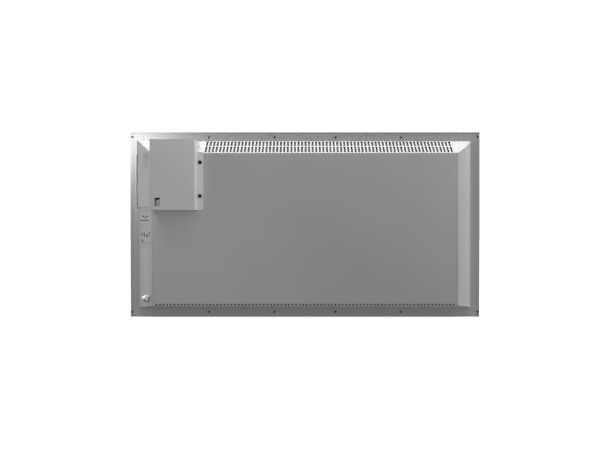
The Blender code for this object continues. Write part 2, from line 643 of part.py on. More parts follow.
def make_wires():
    """Mains cable from the gland, its three cores, and the two LED wires."""
    grommet_x, grommet_z = GROMMET
    mains_x, led_x = grommet_x - 2.4, grommet_x + 4.4      # where they pass the grommet
    core_radius = 0.9
    wire("mains_cable", [
        (-524.1, 36.6, GLAND_Z), (-513.9, 27.0, GLAND_Z), (-502.0, 24.0, -240.0),
        (-500.0, 34.0, -200.0), (-500.0, 42.0, 20.0), (-498.0, 44.0, 60.0),
        (mains_x, 44.0, grommet_z - 6.0), (mains_x, 52.0, grommet_z),
        (mains_x, 70.0, grommet_z)], 3.2, GREY_PVC)

    entries = row(3, ENTRY_PITCH, TERMINAL_Z)
    entry_d = BASE_D + ENTRY_RISE
    cores = (("wire_live", BROWN, -1.9), ("wire_neutral", BLUE, 0.0), ("wire_earth", GREEN, 1.9))
    for (name, finish, shift), entry_z in zip(cores, entries):
        z = grommet_z + shift
        wire(name, [
            (mains_x, 70.4, z), (mains_x, 76.0 + shift, z),
            (mains_x + 12.0, 80.0 + shift, (z + entry_z) / 2),
            (-440.0, entry_d, entry_z), (-424.5, entry_d, entry_z)], core_radius, finish)

    start_d = BASE_D + 12.0
    for name, finish, shift in (("led_wire_positive", RED, -1.2),
                                ("led_wire_negative", BLACK_PVC, 1.2)):
        start_x, end_x = -478.0 + 3 * shift, -490.0 + 3 * shift
        inside_d = 49.0 - 1.5 * shift
        wire(name, [
            (start_x, start_d, DRIVER_Z[0] - GAP), (start_x, start_d, 99.0),
            (led_x, 78.0, grommet_z + 6.0 + shift), (led_x, 70.0, grommet_z + shift),
            (led_x, inside_d, grommet_z + shift),
            (grommet_x - 4.0 + 2 * shift, inside_d, grommet_z - 18.0 + shift),
            (end_x, inside_d, 45.0), (end_x, STRIP_D0 - 0.5, 45.0)], core_radius, finish)


make_tray()
make_drivers()
make_terminal_block()
make_grommet()
make_wires()


# ---- driver cover ----------------------------------------------------------
START_D = -6.0             # the cover's solids start here, before the pan block is cut
WALL_D = (COVER_X0 + MOUTH_X + WING_RISE * LEFT_STRETCH) / LEFT_RATE   # wing meets the box


def wing_mesh(name, offset, z0, top_offset, x_in, d_low, d_high):
    """Wing body between a line off the left slope and x_in, under the top slope."""
    profile = [(left_line(d_low, offset), d_low), (x_in, d_low), (x_in, d_high),
               (left_line(d_high, offset), d_high)]
    return under_top_slope(name, profile, z0, top_offset)


def wing_lip_mesh():
    """Sheet below the wing that follows the left slope and turns onto the pan's back."""
    inner, outer = GAP, GAP + SHEET
    edge_d, x_in = 1.6, COVER_X0 + OVERLAP
    profile = [            # x, d
        (left_line(edge_d, inner), edge_d), (left_line(edge_d, outer), edge_d),
        (left_line(FOOT_D1 - GAP, outer), FOOT_D1), (x_in, FOOT_D1), (x_in, SEAT_D),
        (left_line(PAN_D, inner), SEAT_D)]
    return x_d_slab("wing_lip", profile, LIP_Z0, WING_Z0 + OVERLAP)


def pan_block_mesh():
    """Everything under the pan's rear skin near the cover, grown by the gap."""
    low_d, x_out, x_in = -12.0, -FLANGE_X - 5, -250.0
    profile = [            # x, d
        (x_out, low_d), (x_out, GAP), (left_line(GAP, GAP), GAP),
        (left_line(SEAT_D, GAP), SEAT_D), (x_in, SEAT_D), (x_in, low_d)]
    return under_top_slope("pan_block", profile, 0.0, GAP)


def make_cover():
    cover = piece("driver_cover", box_mesh("driver_cover", COVER_X0, COVER_X1, START_D,
                                           COVER_D, COVER_Z0, COVER_Z1), STEEL_PAINT)
    add(cover,
        wing_mesh("wing", WING_RISE, WING_Z0, 0.0, COVER_X0 + OVERLAP, START_D,
                  WALL_D + OVERLAP / LEFT_RATE),
        wing_lip_mesh(),
        box_mesh("foot", COVER_X1 - OVERLAP, FOOT_X1, SEAT_D, FOOT_D1, COVER_Z0, FOOT_Z1))
    cut(cover,
        box_mesh("box_inside", COVER_X0 + SHEET, COVER_X1 - SHEET, START_D - 1.0,
                 COVER_D - SHEET, COVER_Z0 + SHEET, COVER_Z1 - SHEET),
        wing_mesh("wing_inside", WING_RISE - SHEET, WING_Z0 + SHEET, -SHEET, COVER_X0 + 6.0,
                  START_D - 1.0, WALL_D - 0.6),
        pan_block_mesh(),
        # the wing's free edge stops short of the flange so that the hinge can turn
        box_mesh("wing_edge", -600.0, -568.0, -10.0, 0.9, 20.0, 320.0),
        box_mesh("face_window", *WINDOW_X, COVER_D - 3, COVER_D + 3, *WINDOW_Z),
        rod_mesh("relief_hole", 7.3, COVER_Z0 - 3, COVER_Z0 + 4, RELIEF_FRAME))
    for place, z in FASTENER_Z.items():
        cut(cover, rod_mesh("foot_hole_" + place, 3.0, -3, 4, along_d(FASTENER_X, z, PAN_D), 16))
    notch_play = 0.5
    for number, (z0, z1, owner) in enumerate(KNUCKLES):
        if owner == "leaf":
            cut(cover, box_mesh("knuckle_notch_%d" % number, -590.0, -573.6, -5.0, 8.0,
                                z0 - notch_play, z1 + notch_play))
        else:
            add(cover, rod_mesh("knuckle_%d" % number, KNUCKLE_R, z0, z1, HINGE_AXIS, 16))
    cut(cover, rod_mesh("cover_pin_bore", PIN_BORE_R, 30, 260, HINGE_AXIS, 12))


def make_hinge():
    """Leaf with its webs and knuckles, and the pin."""
    leaf_d1 = 1.0
    leaf = piece("hinge_leaf",
                 box_mesh("hinge_leaf", -575.6, -569.9, GAP, leaf_d1, *HINGE_Z), ZINC)
    for number, (z0, z1, owner) in enumerate(KNUCKLES):
        if owner == "leaf":
            add(leaf, box_mesh("leaf_web_%d" % number, HINGE_X, -575.0, 0.5, leaf_d1, z0, z1),
                rod_mesh("leaf_knuckle_%d" % number, KNUCKLE_R, z0, z1, HINGE_AXIS, 16))
    cut(leaf, rod_mesh("leaf_pin_bore", PIN_BORE_R, 30, 260, HINGE_AXIS, 12))
    piece("hinge_pin", rod_mesh("hinge_pin", PIN_R, *HINGE_Z, HINGE_AXIS, 12), ZINC)


def make_strain_relief():
    """Flanged sleeve through the cover's lower wall."""
    z_low, wall_top = COVER_Z0 - 4.5, COVER_Z0 + SHEET
    relief = piece("strain_relief",
                   rod_mesh("strain_relief", 7.0, z_low, 80.0, RELIEF_FRAME), GREY_PLASTIC)
    add(relief, cone_mesh("relief_flange", 8.2, 9.2, z_low, COVER_Z0 - GAP, RELIEF_FRAME),
        rod_mesh("relief_collar", 8.4, wall_top + GAP, wall_top + 2.5, RELIEF_FRAME))
    cut(relief, rod_mesh("relief_bore", 4.6, 20, 100, RELIEF_FRAME, 20))


def make_fastener(place, z):
    """Quarter-turn fastener in the cover's foot; its origin is on its own axis."""
    frame = along_d(FASTENER_X, z)
    name = "cover_fastener_" + place
    fastener = piece(name, cone_mesh(name, 6.2, 5.6, HEAD_D0, HEAD_D0 + 3.0,
                                     Matrix.Identity(4)), BLACK)
    fastener.matrix_world = frame
    tip_d = PAN_D - 3.2
    add(fastener, rod_mesh("stem_" + place, 2.4, tip_d, HEAD_D0 + OVERLAP, frame, 16),
        boxes_mesh("stem_key_" + place, [(-1.2, 1.2, -5.0, 5.0, tip_d, PAN_D - 1.6)], frame))
    cut(fastener, boxes_mesh("head_slot_" + place,
                             [(-4.2, 4.2, -0.8, 0.8, HEAD_D0 + 1.6, HEAD_D0 + 5)], frame))


make_cover()
make_hinge()
make_strain_relief()
for fastener_place, fastener_z in FASTENER_Z.items():
    make_fastener(fastener_place, fastener_z)

# ---- left slope: cable gland, earth stud, labels ---------------------------
UNDER_SHEET = -SHEET - GAP     # heights here are above the slope's outer face


def make_gland():
    """Gland body, dome nut, seal and the locknut inside the pan."""
    frame = GLAND_FRAME
    thread_radius, nut_radius, hex_top = 8.0, 11.5, 6.3
    nut_bore = thread_radius + GAP
    cavity_top = 14.6          # end of the dome nut's threaded cavity

    body = piece("cable_gland_body",
                 rod_mesh("gland_hex", 12.7, GAP, hex_top, frame, 6, HEX_TURN), BRASS)
    add(body, rod_mesh("gland_thread", thread_radius, -11.0, 12.5, frame))
    cut(body, rod_mesh("gland_bore", 4.4, -15, 20, frame, 20))

    dome = piece("cable_gland_dome_nut", rod_mesh("dome_hex", nut_radius, hex_top + GAP, 14.0,
                                                  frame, 6, HEX_TURN), BRASS)
    add(dome, cone_mesh("dome_cap", 9.8, 7.2, 13.0, 19.0, frame))
    cut(dome, rod_mesh("dome_thread", nut_bore, 5.0, cavity_top, frame),
        rod_mesh("dome_bore", 5.2, 14.0, 22.0, frame, 20))

    seal = piece("cable_gland_seal",
                 cone_mesh("gland_seal", 7.6, 5.0, 12.8, cavity_top - GAP, frame, 20), RUBBER)
    cut(seal, rod_mesh("seal_bore", 3.6, 10, 20, frame, 16))

    locknut = piece("cable_gland_locknut", rod_mesh("locknut", nut_radius, -5.6, UNDER_SHEET,
                                                    frame, 6, HEX_TURN), BRASS)
    cut(locknut, rod_mesh("locknut_bore", nut_bore, -10, 5, frame))


def make_earth_stud():
    """Stud with its head inside the pan, a washer and a nut outside."""
    frame = EARTH_FRAME
    stud_radius, hex_radius = 2.45, 4.6
    bore = stud_radius + GAP
    washer_top = GAP + 1.0
    nut_low = washer_top + GAP

    stud = piece("earth_stud", rod_mesh("earth_stud", stud_radius, -4.0, 11.5, frame, 16), BRASS)
    add(stud, rod_mesh("earth_stud_head", hex_radius, UNDER_SHEET - 3.0, UNDER_SHEET, frame, 6))
    washer = piece("earth_washer", rod_mesh("earth_washer", 6.0, GAP, washer_top, frame), ZINC)
    cut(washer, rod_mesh("washer_bore", bore, -5, 5, frame, 16))
    nut = piece("earth_nut", rod_mesh("earth_nut", hex_radius, nut_low, nut_low + 4.0,
                                      frame, 6, HEX_TURN), BRASS)
    cut(nut, rod_mesh("nut_bore", bore, -5, 10, frame, 16))


def make_label(name, half_width, half_height, d, z, rise=0.0):
    """Thin label parallel to the left slope, rise above it."""
    thickness = 0.25
    box = (-half_width, half_width, -half_height, half_height, 0.0, thickness)
    piece(name, boxes_mesh(name, [box], slope_frame(d, z, rise + thickness)), LABEL)


make_gland()
make_earth_stud()
make_label("rating_label", half_width=33.0, half_height=57.5, d=30.0, z=-18.5)
make_label("cover_label", half_width=15.0, half_height=24.0, d=39.5, z=218.0, rise=WING_RISE)
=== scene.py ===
"""Ventilated LED panel light, standing upright and seen from behind in a soft white studio.

X runs along the panel and Z up. The back faces -Y, towards the camera, so -X is on the left.
Most lengths are in millimetres. Depth is measured from the plane Y = REAR_Y towards -Y: the
bezel lies at negative depth, the back pan and the driver cover at positive depth.
"""

import json
import math

import bmesh
import bpy
from mathutils import Matrix, Vector

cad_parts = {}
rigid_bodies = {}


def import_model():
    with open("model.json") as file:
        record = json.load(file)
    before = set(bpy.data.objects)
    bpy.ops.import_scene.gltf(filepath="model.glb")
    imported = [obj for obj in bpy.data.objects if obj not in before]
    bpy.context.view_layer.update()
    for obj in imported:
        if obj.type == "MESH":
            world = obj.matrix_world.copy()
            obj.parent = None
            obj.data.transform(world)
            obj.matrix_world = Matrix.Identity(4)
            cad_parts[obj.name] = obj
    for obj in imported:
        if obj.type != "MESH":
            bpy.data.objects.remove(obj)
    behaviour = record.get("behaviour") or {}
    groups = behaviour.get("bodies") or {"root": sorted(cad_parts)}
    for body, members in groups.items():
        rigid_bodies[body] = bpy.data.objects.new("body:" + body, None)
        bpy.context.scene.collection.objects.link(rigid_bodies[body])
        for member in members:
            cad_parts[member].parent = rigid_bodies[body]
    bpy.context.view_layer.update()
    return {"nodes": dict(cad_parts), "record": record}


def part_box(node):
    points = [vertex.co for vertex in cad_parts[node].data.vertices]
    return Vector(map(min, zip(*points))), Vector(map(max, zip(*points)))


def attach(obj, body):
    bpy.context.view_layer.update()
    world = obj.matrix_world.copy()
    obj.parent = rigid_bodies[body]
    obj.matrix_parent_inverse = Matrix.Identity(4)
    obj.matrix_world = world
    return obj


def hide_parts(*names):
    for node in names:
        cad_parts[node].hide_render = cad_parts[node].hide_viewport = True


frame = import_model()
MM = 0.001

# ---- sizes shared by several pieces, mm ----
REAR_Y = 51.0
SHEET = 1.0                     # sheet metal thickness
GAP = 0.3                       # clearance between neighbouring parts
BEZEL_X, BEZEL_Z = 600.0, 317.0  # half sizes of the bezel

pan_low, pan_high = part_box("back_pan")
FLANGE_X, FLANGE_Z = pan_high.x / MM, pan_high.z / MM
PAN_D = REAR_Y - pan_low.y / MM
MOUTH_X, MOUTH_Z = 569.0, 285.5  # half sizes of the pan where its walls meet the flange
BACK_X, BACK_TOP, BACK_BOTTOM = 513.3, 240.0, -272.6
KNEE_X, KNEE_D = 548.6, 28.0    # fold across the right wall
SIDE_SLOPE = (MOUTH_X - BACK_X) / PAN_D
TOP_SLOPE = (MOUTH_Z - BACK_TOP) / PAN_D
TOP_RUN = math.hypot(MOUTH_Z - BACK_TOP, PAN_D)

cover_low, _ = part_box("driver_cover")
COVER_D = REAR_Y - cover_low.y / MM
COVER_X0, COVER_X1, COVER_Z0, COVER_Z1 = -508.5, -360.3, 47.5, 279.0
WING_RISE, WING_Z0, LIP_Z0 = 7.0, 58.8, 46.4
FOOT_X1, FOOT_Z1 = -340.2, 242.0
COVER_FOOT_D = PAN_D + GAP + SHEET
TRAY_D = PAN_D + GAP
CASE_D = TRAY_D + 1.2 + GAP     # where the driver cases and the terminal block stand

VENT_COUNT, VENT_PITCH, VENT_CENTRE, VENT_WIDTH = 70, 12.0, 80.0, 6.9
VENT_ROWS = ((1.6, 24.9), (28.3, 57.3))  # start and end depth
DRAIN_COUNT, DRAIN_WIDTH, DRAIN_HEIGHT, DRAIN_Z = 84, 5.4, 5.4, -268.7

HINGE_X, HINGE_D = -577.5, 2.4
# Knuckles: lower z, upper z, the part that carries it.
KNUCKLES = ((66.0, 96.0, "leaf"), (96.5, 136.0, "cover"), (136.5, 166.0, "leaf"),
            (166.5, 206.0, "cover"), (206.5, 236.0, "leaf"))
FASTENER_X, FASTENER_Z = -352.0, {"upper": 208.0, "lower": 95.2}
FLANGE_SCREW_X, FLANGE_SCREW_Z = (-330.0, -104.5, 104.5, 330.0), 300.0
TRAY_SCREW_X, TRAY_SCREW_Z = -441.0, {"upper": 238.0, "lower": 57.0}
CORNER_SCREW_X, CORNER_SCREW_Z = 593.4, 300.5
GROMMET_X, GROMMET_Z = -462.0, 82.0
RELIEF_X, RELIEF_D = -482.5, 107.0
LABEL_FILM = 0.25

# ---------------------------------------------------------------- materials ----


class NodeTree:
    """A short way to write a node tree."""

    def __init__(self, tree):
        self.tree = tree

    def add(self, kind, **settings):
        """Adds a node; each setting is an input's value or a property."""
        node = self.tree.nodes.new(kind)
        for key, value in settings.items():
            if key in node.inputs.keys():
                node.inputs[key].default_value = value
            else:
                setattr(node, key, value)
        return node

    def link(self, source, target):
        self.tree.links.new(source, target)

    def feed(self, socket, value):
        """Links a socket, or sets a number or an RGB tuple."""
        if isinstance(value, bpy.types.NodeSocket):
            self.link(value, socket)
        else:
            socket.default_value = (*value, 1.0) if isinstance(value, tuple) else value

    def math(self, operation, first, second):
        node = self.add("ShaderNodeMath", operation=operation)
        self.feed(node.inputs[0], first)
        self.feed(node.inputs[1], second)
        return node.outputs[0]


class Look(NodeTree):
    """A material built round its Principled shader."""

    def __init__(self, name):
        self.material = bpy.data.materials.new(name)
        self.material.use_nodes = True
        super().__init__(self.material.node_tree)

    def on_object(self, kind, **settings):
        """A node fed with object coordinates."""
        node = self.add(kind, **settings)
        coords = self.add("ShaderNodeTexCoord").outputs["Object"]
        self.link(coords, node.inputs["Vector"])
        return node

    def noise(self, scale, detail=2.0, roughness=0.5, distortion=0.0):
        return self.on_object("ShaderNodeTexNoise", Scale=scale, Detail=detail,
                              Roughness=roughness, Distortion=distortion).outputs["Fac"]

    def remap(self, value, span, to):
        """Maps the range span onto the range to."""
        node = self.add("ShaderNodeMapRange")
        for key, number in zip(("From Min", "From Max", "To Min", "To Max"), (*span, *to)):
            node.inputs[key].default_value = number
        self.link(value, node.inputs["Value"])
        return node.outputs["Result"]

    def uneven(self, scale, to, span=(0.3, 0.7), **noise):
        """Noise whose range span is mapped onto to."""
        return self.remap(self.noise(scale, **noise), span, to)

    def mix(self, factor, first, second, blend="MIX"):
        node = self.add("ShaderNodeMix", data_type="RGBA", blend_type=blend)
        for index, value in ((0, factor), (6, first), (7, second)):
            self.feed(node.inputs[index], value)
        return node.outputs[2]

    def tinted(self, colour, tone):
        return self.mix(1.0, colour, tone, "MULTIPLY")

    def bump(self, height, strength, distance, under=None):
        node = self.add("ShaderNodeBump", Strength=strength, Distance=distance)
        self.link(height, node.inputs["Height"])
        if under is not None:
            self.link(under, node.inputs["Normal"])
        return node.outputs["Normal"]

    def finish(self, colour, roughness, normal=None, **values):
        inputs = self.tree.nodes["Principled BSDF"].inputs
        self.feed(inputs["Base Color"], colour)
        self.feed(inputs["Roughness"], roughness)
        if normal is not None:
            self.link(normal, inputs["Normal"])
        for key, value in values.items():
            inputs[key.replace("_", " ")].default_value = value
        return self.material


def grey(value):
    return (value, value, value)


def powder_coat(name, shade, roughness, fold_shade, peel=0.35):
    """Baked powder paint: orange peel, faint cloudiness, handling marks, and painted shade
    darkening the folds and creases.
    """
    n = Look(name)
    cloud = n.uneven(scale=7.0, detail=3.0, roughness=0.55, to=(0.985, 1.012))
    fine = n.uneven(scale=60.0, detail=3.0, roughness=0.6, span=(0.25, 0.75), to=(0.992, 1.006))
    rgb = n.tinted(grey(shade), n.math("MULTIPLY", cloud, fine))
    # Painted shade: ambient occlusion darkens the paint in folds, creases and tight corners.
    shut = n.add("ShaderNodeAmbientOcclusion", Distance=0.010, samples=8, only_local=False)
    shade_in_folds = n.remap(shut.outputs["AO"], span=(0.25, 0.9), to=(fold_shade, 0.0))
    rgb = n.mix(shade_in_folds, rgb, grey(shade * 0.45))
    speck = n.uneven(scale=420.0, detail=1.0, span=(0.71, 0.76), to=(0.0, 0.10))
    rgb = n.mix(speck, rgb, grey(shade * 0.6))
    smear = n.uneven(scale=3.5, detail=4.0, roughness=0.65, distortion=0.6,
                     to=(roughness - 0.05, roughness + 0.07))
    rough = n.math("ADD", smear, n.uneven(scale=900.0, to=(-0.02, 0.03)))
    normal = n.bump(n.noise(scale=750.0), strength=peel * 0.22, distance=0.0004)
    normal = n.bump(n.noise(scale=22.0, detail=1.0), strength=0.05, distance=0.0008, under=normal)
    return n.finish(rgb, rough, normal, Specular_IOR_Level=0.4)


def zinc_plate(name, shade, roughness):
    """Plated steel: small flakes of differing tone, with stains."""
    n = Look(name)
    flakes = n.on_object("ShaderNodeTexVoronoi", Scale=260.0, feature="F1")
    channels = n.add("ShaderNodeSeparateColor")
    n.link(flakes.outputs["Color"], channels.inputs[0])
    rgb = n.tinted(grey(shade), n.remap(channels.outputs[0], span=(0, 1), to=(0.9, 1.05)))
    stain = n.uneven(scale=90.0, detail=4.0, roughness=0.6, span=(0.45, 0.75), to=(0.0, 0.25))
    rgb = n.mix(stain, rgb, grey(shade * 0.75))
    rough = n.uneven(scale=340.0, detail=3.0, to=(roughness - 0.07, roughness + 0.12))
    normal = n.bump(n.noise(scale=1500.0), strength=0.12, distance=0.0002)
    return n.finish(rgb, rough, normal, Metallic=1.0)


def turned_metal(name, colour, roughness, metallic=1.0):
    """Turned or cast metal with patches of tarnish."""
    n = Look(name)
    rgb = n.tinted(colour, n.uneven(scale=140.0, detail=3.0, roughness=0.6, to=(0.88, 1.06)))
    tarnish = n.uneven(scale=55.0, detail=4.0, roughness=0.7, span=(0.52, 0.8), to=(0.0, 0.35))
    rgb = n.mix(tarnish, rgb, tuple(c * 0.55 for c in colour))
    rough = n.uneven(scale=600.0, to=(roughness - 0.05, roughness + 0.12))
    normal = n.bump(n.noise(scale=2200.0), strength=0.1, distance=0.0002)
    return n.finish(rgb, rough, normal, Metallic=metallic)


def plastic(name, colour, roughness, grain=1400.0, strength=0.15):
    """Moulded plastic; grain and strength set its fine bumps."""
    n = Look(name)
    rgb = n.tinted(colour, n.uneven(scale=35.0, detail=3.0, to=(0.95, 1.04)))
    rough = n.uneven(scale=120.0, detail=3.0, to=(roughness - 0.06, roughness + 0.08))
    normal = n.bump(n.noise(scale=grain), strength=strength, distance=0.0002)
    return n.finish(rgb, rough, normal)


def opal(name):
    """Opal acrylic with a fine micro-prism emboss and a little depth."""
    n = Look(name)
    cells = n.on_object("ShaderNodeTexVoronoi", Scale=420.0, feature="SMOOTH_F1", Smoothness=0.4)
    rgb = n.tinted((0.90, 0.90, 0.895), n.uneven(scale=2.2, detail=3.0, to=(0.985, 1.01)))
    rough = n.uneven(scale=40.0, detail=3.0, to=(0.30, 0.40))
    normal = n.bump(cells.outputs["Distance"], strength=0.16, distance=0.0005)
    return n.finish(rgb, rough, normal, Specular_IOR_Level=0.5, Subsurface_Weight=0.15,
                    Subsurface_Scale=0.004)


def film(name):
    """Matt white film, slightly wavy."""
    n = Look(name)
    rgb = n.tinted(grey(0.86), n.uneven(scale=12.0, detail=3.0, to=(0.96, 1.02)))
    rough = n.uneven(scale=80.0, to=(0.5, 0.65))
    return n.finish(rgb, rough, n.bump(n.noise(scale=30.0), strength=0.12, distance=0.001))


def foam(name, shade):
    """Open dark cells."""
    n = Look(name)
    cells = n.on_object("ShaderNodeTexVoronoi", Scale=900.0).outputs["Distance"]
    rgb = n.mix(cells, grey(shade * 0.6), grey(shade * 1.5))
    return n.finish(rgb, 0.95, n.bump(cells, strength=0.6, distance=0.001))


def board(name):
    """White solder mask with copper tracks showing faintly along the strip."""
    n = Look(name)
    place = n.on_object("ShaderNodeSeparateXYZ")
    track = n.math("PINGPONG", place.outputs["Z"], 0.0045)
    line = n.remap(track, span=(0.0036, 0.0042), to=(0.0, 0.35))
    rgb = n.mix(line, grey(0.80), grey(0.62))
    rough = n.uneven(scale=300.0, to=(0.3, 0.42))
    return n.finish(rgb, rough, n.bump(line, strength=0.3, distance=0.0002))


def label_stock(name, shade):
    """Satin printed film."""
    n = Look(name)
    rgb = n.tinted(grey(shade), n.uneven(scale=90.0, detail=3.0, to=(0.97, 1.02)))
    rough = n.uneven(scale=25.0, detail=3.0, distortion=0.5, to=(0.32, 0.5))
    return n.finish(rgb, rough, n.bump(n.noise(scale=160.0), strength=0.08, distance=0.0003))


def shade_sheet_look(name, shade, half_pitch=0.0006):
    """Near-black woven sheet behind the slots, painted shade standing in for the dark inside seen
    through them.
    """
    n = Look(name)
    place = n.on_object("ShaderNodeSeparateXYZ")
    warp = n.math("PINGPONG", place.outputs["X"], half_pitch)
    weft = n.math("PINGPONG", place.outputs["Z"], half_pitch)
    weave = n.remap(n.math("MINIMUM", warp, weft), span=(0.0, half_pitch), to=(1.0, 0.0))
    rgb = n.mix(weave, grey(shade * 0.5), grey(shade * 1.3))
    rough = n.uneven(scale=300.0, to=(0.6, 0.8))
    return n.finish(rgb, rough, n.bump(weave, strength=0.5, distance=0.0003))


def ink(name, shade):
    """Printing ink with thin patches."""
    n = Look(name)
    wear = n.uneven(scale=1600.0, span=(0.45, 0.7), to=(0.0, 0.35))
    rgb = n.mix(wear, grey(shade), grey(shade + 0.25))
    return n.finish(rgb, n.uneven(scale=200.0, to=(0.4, 0.6)))


PAN_PAINT = powder_coat("pan_powder_coat", shade=0.52, roughness=0.45, fold_shade=0.05)
COVER_PAINT = powder_coat("cover_powder_coat", shade=0.88, roughness=0.42, fold_shade=0.03)
BEZEL_PAINT = powder_coat("bezel_powder_coat", shade=0.52, roughness=0.38, fold_shade=0.05, peel=0.2)
ZINC = zinc_plate("zinc_plate", shade=0.62, roughness=0.32)
DIE_CAST = turned_metal("die_cast_zinc", grey(0.42), roughness=0.45)
NICKEL = turned_metal("nickel_plate", (0.66, 0.66, 0.655), roughness=0.26, metallic=0.45)
DULL_ZINC = turned_metal("dulled_zinc", (0.085, 0.086, 0.09), roughness=0.42, metallic=0.3)
BLACK_OXIDE = turned_metal("black_oxide", (0.018, 0.018, 0.019), roughness=0.38, metallic=0.3)
OPAL = opal("opal_acrylic")
FILM = film("reflector_film")
FOAM = foam("grey_foam", shade=0.05)
BOARD = board("led_board")
RUBBER = plastic("black_rubber", grey(0.025), roughness=0.75, grain=900.0, strength=0.3)
PLUG = plastic("pale_plug", (0.93, 0.93, 0.925), roughness=0.32)
POLYAMIDE = plastic("grey_polyamide", grey(0.60), roughness=0.5)
POLYCARB = plastic("white_polycarbonate", (0.74, 0.74, 0.72), roughness=0.38)
LABEL_STOCK = label_stock("label_stock", shade=0.49)
COVER_LABEL_STOCK = label_stock("cover_label_stock", shade=0.75)
INK = ink("label_ink", shade=0.03)
MID_INK = ink("label_mid_ink", shade=0.14)
GREY_INK = ink("label_grey_ink", shade=0.36)
COVER_GREY_INK = ink("cover_label_grey_ink", shade=0.52)
STICKER = label_stock("driver_sticker_stock", shade=0.62)
SHADE_SHEET = shade_sheet_look("insect_screen", shade=0.028)
PVC = {slot: plastic(slot, colour, roughness=0.42, grain=700.0, strength=0.08)
       for slot, colour in (
           ("brown_pvc", (0.16, 0.07, 0.03)), ("blue_pvc", (0.04, 0.12, 0.42)),
           ("green_pvc", (0.12, 0.34, 0.06)), ("red_pvc", (0.50, 0.03, 0.02)),
           ("black_pvc", grey(0.02)), ("grey_pvc", grey(0.30)))}

SLOT_LOOK = {
    "white_aluminium": BEZEL_PAINT, "white_steel": PAN_PAINT, "opal_acrylic": OPAL,
    "grey_foam": FOAM, "white_film": FILM, "led_board": BOARD, "zinc_plated": ZINC,
    "die_cast": DIE_CAST, "black_oxide": BLACK_OXIDE, "nickel_brass": NICKEL,
    "black_rubber": RUBBER, "grey_polyamide": POLYAMIDE, "polycarbonate": POLYCARB,
    "label_film": LABEL_STOCK, **PVC}
slot_of = {row["node"]: row["material_slot"] for row in frame["record"]["subparts"]}
for node, obj in frame["nodes"].items():
    look = COVER_PAINT if node == "hinge_leaf" else SLOT_LOOK[slot_of[node]]
    if not obj.data.materials:
        obj.data.materials.append(None)
    for material_slot in obj.material_slots:
        material_slot.link = "OBJECT"
        material_slot.material = look

# -------------------------------------------------------- places and frames ----


def at(x, depth, z):
    return Vector((x, REAR_Y - depth, z)) * MM


def left_line(depth, offset):
    """X of the pan's left wall at a depth, moved outwards by offset."""
    return -MOUTH_X + SIDE_SLOPE * depth - offset * math.hypot(1.0, SIDE_SLOPE)


def top_line(depth, offset=0.0):
    """Z of the pan's top wall at a depth, moved outwards by offset."""
    return MOUTH_Z - TOP_SLOPE * depth + offset * math.hypot(1.0, TOP_SLOPE)


def axes_frame(origin, x_axis, y_axis, z_axis):
    turned = Matrix((x_axis, y_axis, z_axis)).transposed().to_4x4()
    return Matrix.Translation(origin) @ turned


def slope_frame(depth, z, offset=0.0):
    """On the left wall: local X runs inwards along the slope, local Z points outwards."""
    run = math.hypot(MOUTH_X - BACK_X, PAN_D)
    along = Vector(((MOUTH_X - BACK_X) / run, -PAN_D / run, 0.0))
    normal = Vector((-PAN_D / run, -(MOUTH_X - BACK_X) / run, 0.0))
    foot = at(-MOUTH_X + SIDE_SLOPE * depth, depth, z) + normal * offset * MM
    return axes_frame(foot, along, normal.cross(along), normal)


def back_frame(x, z, depth=0.0):
    """Local X along the panel, local Y up, local Z towards the back (-Y)."""
    return Matrix.Translation(at(x, depth, z)) @ Matrix.Rotation(math.pi / 2, 4, "X")


def upright_frame(x, depth):
    return Matrix.Translation(at(x, depth, 0.0))


def top_wall_frame():
    """Local Y runs down the top wall from the mouth, local Z points outwards."""
    along = Vector((1.0, 0.0, 0.0))
    down = Vector((0.0, -PAN_D / TOP_RUN, -(MOUTH_Z - BACK_TOP) / TOP_RUN))
    return axes_frame(at(0.0, 0.0, MOUTH_Z), along, down, along.cross(down))


panel_frame = back_frame(0.0, 0.0)
top_wall = top_wall_frame()
gland = slope_frame(42.0, -249.0)
earth = slope_frame(15.0, -251.0)
relief = upright_frame(RELIEF_X, RELIEF_D)

# ----------------------------------------------------------- mesh functions ----


def finished(bm, name, where=None):
    if where is not None:
        bm.transform(where)
    bm.normal_update()
    bmesh.ops.recalc_face_normals(bm, faces=bm.faces[:])
    if bm.calc_volume(signed=True) < 0:
        bmesh.ops.reverse_faces(bm, faces=bm.faces[:])
    mesh = bpy.data.meshes.new(name)
    bm.to_mesh(mesh)
    bm.free()
    return mesh


def piece(name, mesh, look, body="panel", replaces=None, degrees=32.0):
    """Makes the object; edges sharper than degrees stay hard, None leaves it flat shaded."""
    obj = bpy.data.objects.new(name, mesh)
    bpy.context.scene.collection.objects.link(obj)
    mesh.materials.clear()
    mesh.materials.append(look)
    if degrees:
        mesh.shade_smooth()
        mesh.set_sharp_from_angle(angle=math.radians(degrees))
    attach(obj, body)
    if replaces:
        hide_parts(replaces)
    return obj


def modified(mesh, add_modifiers):
    """The mesh after the modifiers that add_modifiers puts on it."""
    obj = bpy.data.objects.new("work", mesh)
    bpy.context.scene.collection.objects.link(obj)
    add_modifiers(obj)
    bpy.context.view_layer.update()
    evaluated = obj.evaluated_get(bpy.context.evaluated_depsgraph_get())
    result = bpy.data.meshes.new_from_object(evaluated)
    bpy.data.objects.remove(obj, do_unlink=True)
    return result


def boolean(mesh, tools, operation="DIFFERENCE"):
    helpers = []

    def add_booleans(obj):
        for tool in tools:
            helper = bpy.data.objects.new("tool", tool)
            bpy.context.scene.collection.objects.link(helper)
            modifier = obj.modifiers.new("cut", "BOOLEAN")
            modifier.operation = operation
            modifier.solver = "EXACT"
            modifier.object = helper
            helpers.append(helper)

    result = modified(mesh, add_booleans)
    for helper in helpers:
        bpy.data.objects.remove(helper, do_unlink=True)
    return result


def thicken(obj):
    sheet = obj.modifiers.new("sheet", "SOLIDIFY")
    sheet.thickness = SHEET * MM
    sheet.offset = -1.0
    sheet.use_even_offset = True
    sheet.use_quality_normals = True


